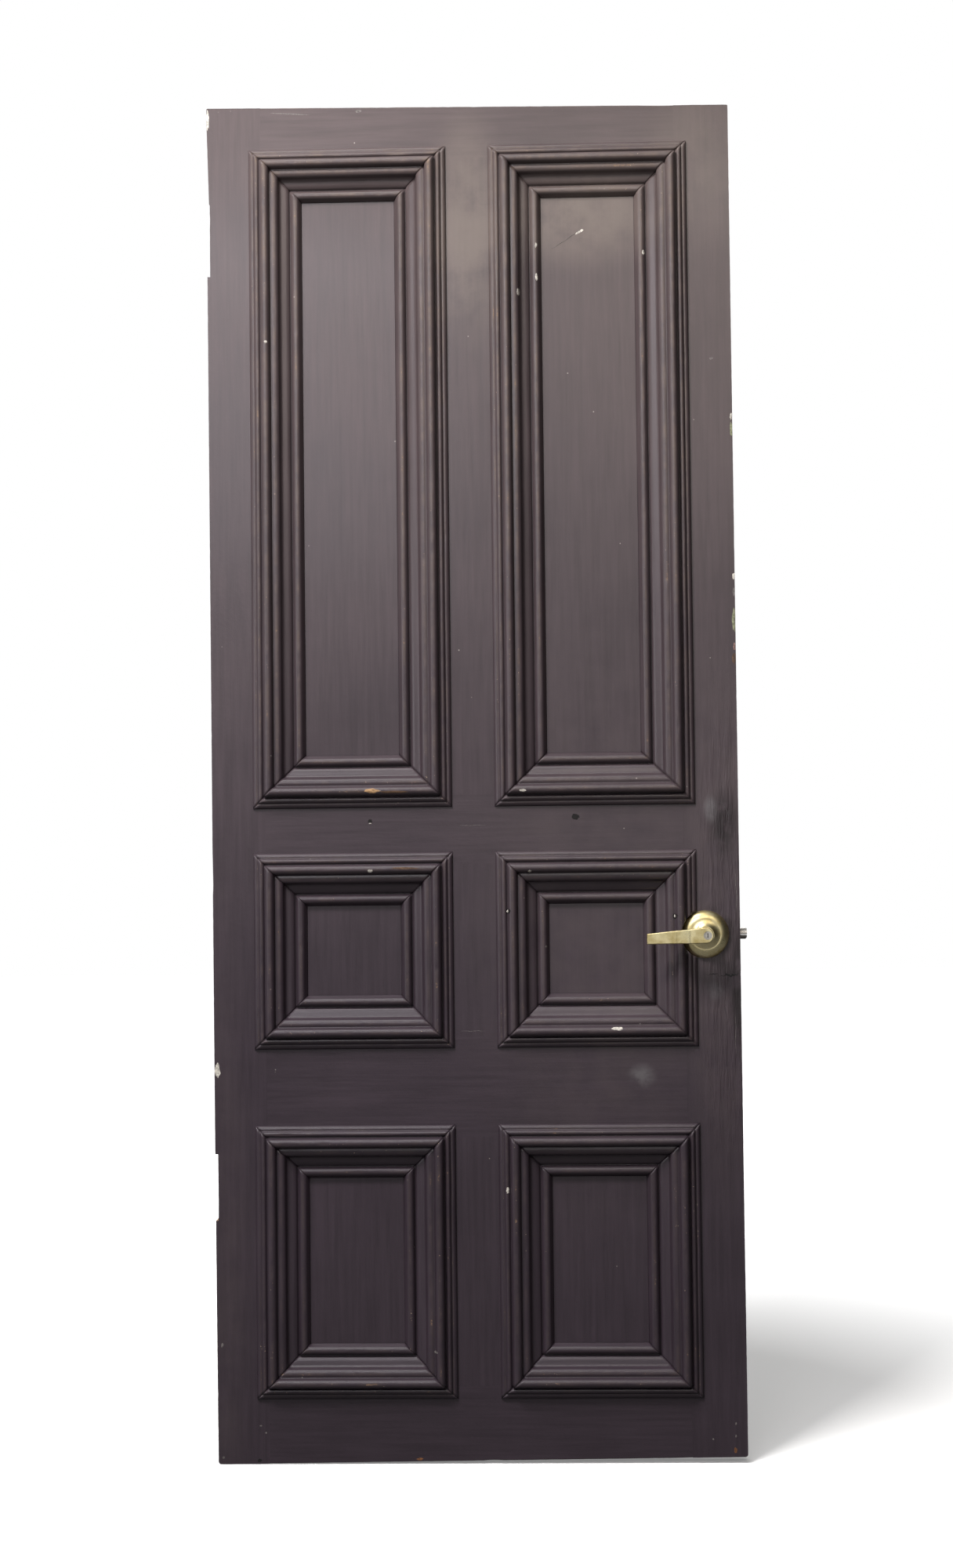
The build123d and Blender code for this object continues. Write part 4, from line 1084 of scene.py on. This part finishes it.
def fleckPiece():
    joined = bmesh.new()
    for piece in leafPieces:
        if "moulding" in piece.name:
            joined.from_mesh(piece.data)
    mesh = bpy.data.meshes.new("ridgeSource")
    joined.to_mesh(mesh)
    joined.free()
    source = bpy.data.objects.new("ridgeSource", mesh)
    scene.collection.objects.link(source)
    modifier = source.modifiers.new("flecks", "NODES")
    modifier.node_group = fleckTree(chipMaterials["fleck"])
    for item in modifier.node_group.interface.items_tree:
        key = item.name.lower()
        if item.in_out == "INPUT" and key in fleckLooks:
            modifier[item.identifier] = fleckLooks[key]
    bpy.context.view_layer.update()
    made = bpy.data.meshes.new_from_object(source.evaluated_get(bpy.context.evaluated_depsgraph_get()))
    bpy.data.objects.remove(source)
    bpy.data.meshes.remove(mesh)
    made.name = "ridge_flecks"
    made.materials.clear()
    placePiece("ridge_flecks", made, [chipMaterials["fleck"]], "door_leaf", "painted_pine")
    print("flecks scattered:", len(made.polygons) // 20)          # a flake has 20 faces


fleckPiece()


# floor, light and camera

stageLooks = {
    "floor": (0.86, 0.86, 0.85),
    "floorBounce": (0.09, 0.09, 0.09),
    "fadeFrom": 0.35,
    "fadeTo": 2.2,
    "leastGlow": 0.22,
    "ambient": (0.03, 0.03, 0.032),
    "mirrored": (0.50, 0.50, 0.50),           # what metal and satin paint show of the white room
    "darkSide": (0.05, 0.75),                 # the room darkens to the right between these
    "floorSize": 14.0,
    "floorGap": 0.4 * mm,
    "floorRoughness": 0.9,
}

floorMesh = bmesh.new()
bmesh.ops.create_grid(floorMesh, x_segments=1, y_segments=1, size=stageLooks["floorSize"])
bmesh.ops.translate(floorMesh, vec=(0, 0, cadLow.z - stageLooks["floorGap"]), verts=floorMesh.verts)
floorData = bpy.data.meshes.new("floor")
floorMesh.to_mesh(floorData)
floorMesh.free()
floor = bpy.data.objects.new("floor", floorData)
scene.collection.objects.link(floor)
floorMaterial, floorTree, floorShader = newMaterial("paleFloor")
floorPath = floorTree.nodes.new("ShaderNodeLightPath").outputs["Is Camera Ray"]
floorColour = mixColour(floorTree, floorPath, stageLooks["floorBounce"], stageLooks["floor"])
floorTree.links.new(floorColour, floorShader.inputs["Base Color"])
floorShader.inputs["Roughness"].default_value = stageLooks["floorRoughness"]
floorCoords = objectCoords(floorTree)
floorDistance = addNode(floorTree, "ShaderNodeVectorMath", operation="LENGTH")
floorTree.links.new(floorCoords, floorDistance.inputs[0])
floorFade = ramp(floorTree, floorDistance.outputs["Value"], stageLooks["fadeFrom"], stageLooks["fadeTo"])
floorShader.inputs["Emission Color"].default_value = (1.0, 1.0, 1.0, 1.0)
floorGlow = mathNode(floorTree, "MAXIMUM", floorFade, stageLooks["leastGlow"])
floorTree.links.new(mathNode(floorTree, "MULTIPLY", floorGlow, floorPath),
                    floorShader.inputs["Emission Strength"])
floorData.materials.append(floorMaterial)

world = bpy.data.worlds.new("studio")
scene.world = world
world.use_nodes = True
worldTree = world.node_tree
background = worldTree.nodes["Background"]
worldPath = worldTree.nodes.new("ShaderNodeLightPath")
worldGlossy = worldPath.outputs["Is Glossy Ray"]
worldSeen = mixColour(worldTree, worldGlossy, stageLooks["ambient"], stageLooks["mirrored"])
worldSide = axisOf(worldTree, worldTree.nodes.new("ShaderNodeTexCoord").outputs["Generated"], "X")
worldShade = mathNode(worldTree, "MULTIPLY", worldGlossy, ramp(worldTree, worldSide, *stageLooks["darkSide"]))
worldSeen = mixColour(worldTree, worldShade, worldSeen, stageLooks["ambient"])
worldColour = mixColour(worldTree, worldPath.outputs["Is Camera Ray"], worldSeen, (1.0, 1.0, 1.0))
worldTree.links.new(worldColour, background.inputs["Color"])
background.inputs["Strength"].default_value = 1.0


lamps = {                       # place, target, size, power, colour
    "tallLeft": ((-1.2, -3.4, 2.6), (-0.3, 0, 1.7), (2.1, 1.1), 21, (0.96, 0.94, 1.0)),
    "stripLeft": ((-1.2, -3.3, 3.12), (-0.3, 0, 1.9), (2.1, 0.25), 13, (0.96, 0.93, 1.0)),
    "tallRight": ((1.0, -3.4, 2.6), (0.25, 0, 1.7), (1.6, 1.1), 7, (1.0, 0.90, 0.80)),
    "stripRight": ((0.95, -3.3, 3.3), (0.25, 0, 1.9), (2.0, 0.25), 12, (1.0, 0.90, 0.80)),
    "key": ((-1.5, -2.1, 4.2), (0.0, 0, 0.9), (1.4, 0.8), 270, (1.0, 0.98, 0.97)),
    "sideLeft": ((-4.0, -3.2, 1.6), (0, 0, 1.0), (1.2, 1.6), 22, (0.97, 0.97, 1.0)),
    "lowCard": ((0.75, -4.3, 0.75), (0.35, 0, 0.9), (1.5, 0.9), 2.6, (1.0, 0.97, 0.93)),
    "top": ((-0.9, -1.8, 4.6), (0.1, 0, 0.8), (2.6, 1.6), 60, (1.0, 0.98, 0.98)),
    "behind": ((0.0, 3.5, 3.3), (0, 0, 1.2), (2.5, 1.5), 60, (1.0, 1.0, 1.0)),
}
for name, (place, target, size, power, colour) in lamps.items():
    data = bpy.data.lights.new(name, "AREA")
    data.shape = "RECTANGLE"
    data.size, data.size_y = size
    data.energy = power
    data.color = colour
    lamp = bpy.data.objects.new(name, data)
    lamp.location = place
    lamp.rotation_euler = (Vector(target) - Vector(place)).to_track_quat("-Z", "Y").to_euler()
    lamp.visible_glossy = name != "key"       # the key gives diffuse light only, so no ridge glitters
    scene.collection.objects.link(lamp)

cameraFit = {
    "place": (0.1199, -3.52225, 1.0437),
    "yaw": 1.870,
    "pitch": 1.912,
    "roll": -0.639,
    "focalPixels": 2578.9,
    "imageHeight": 2000,
    "sensor": 36.0,
}


def placeCamera():
    yaw, pitch, roll = (math.radians(cameraFit[key]) for key in ("yaw", "pitch", "roll"))
    right = Vector((math.cos(yaw), math.sin(yaw), 0))
    forward = Vector((-math.cos(pitch) * math.sin(yaw), math.cos(pitch) * math.cos(yaw), math.sin(pitch)))
    up = right.cross(forward)
    rolledRight = math.cos(roll) * right + math.sin(roll) * up
    rolledUp = math.cos(roll) * up - math.sin(roll) * right
    data = bpy.data.cameras.new("camera")
    data.sensor_width = cameraFit["sensor"]
    data.lens = cameraFit["focalPixels"] * data.sensor_width / cameraFit["imageHeight"]
    camera = bpy.data.objects.new("camera", data)
    turn = Matrix((rolledRight, rolledUp, -forward)).transposed().to_4x4()
    camera.matrix_world = Matrix.Translation(cameraFit["place"]) @ turn
    scene.collection.objects.link(camera)
    scene.camera = camera


placeCamera()
scene.view_settings.view_transform = "Standard"

print("stage set")
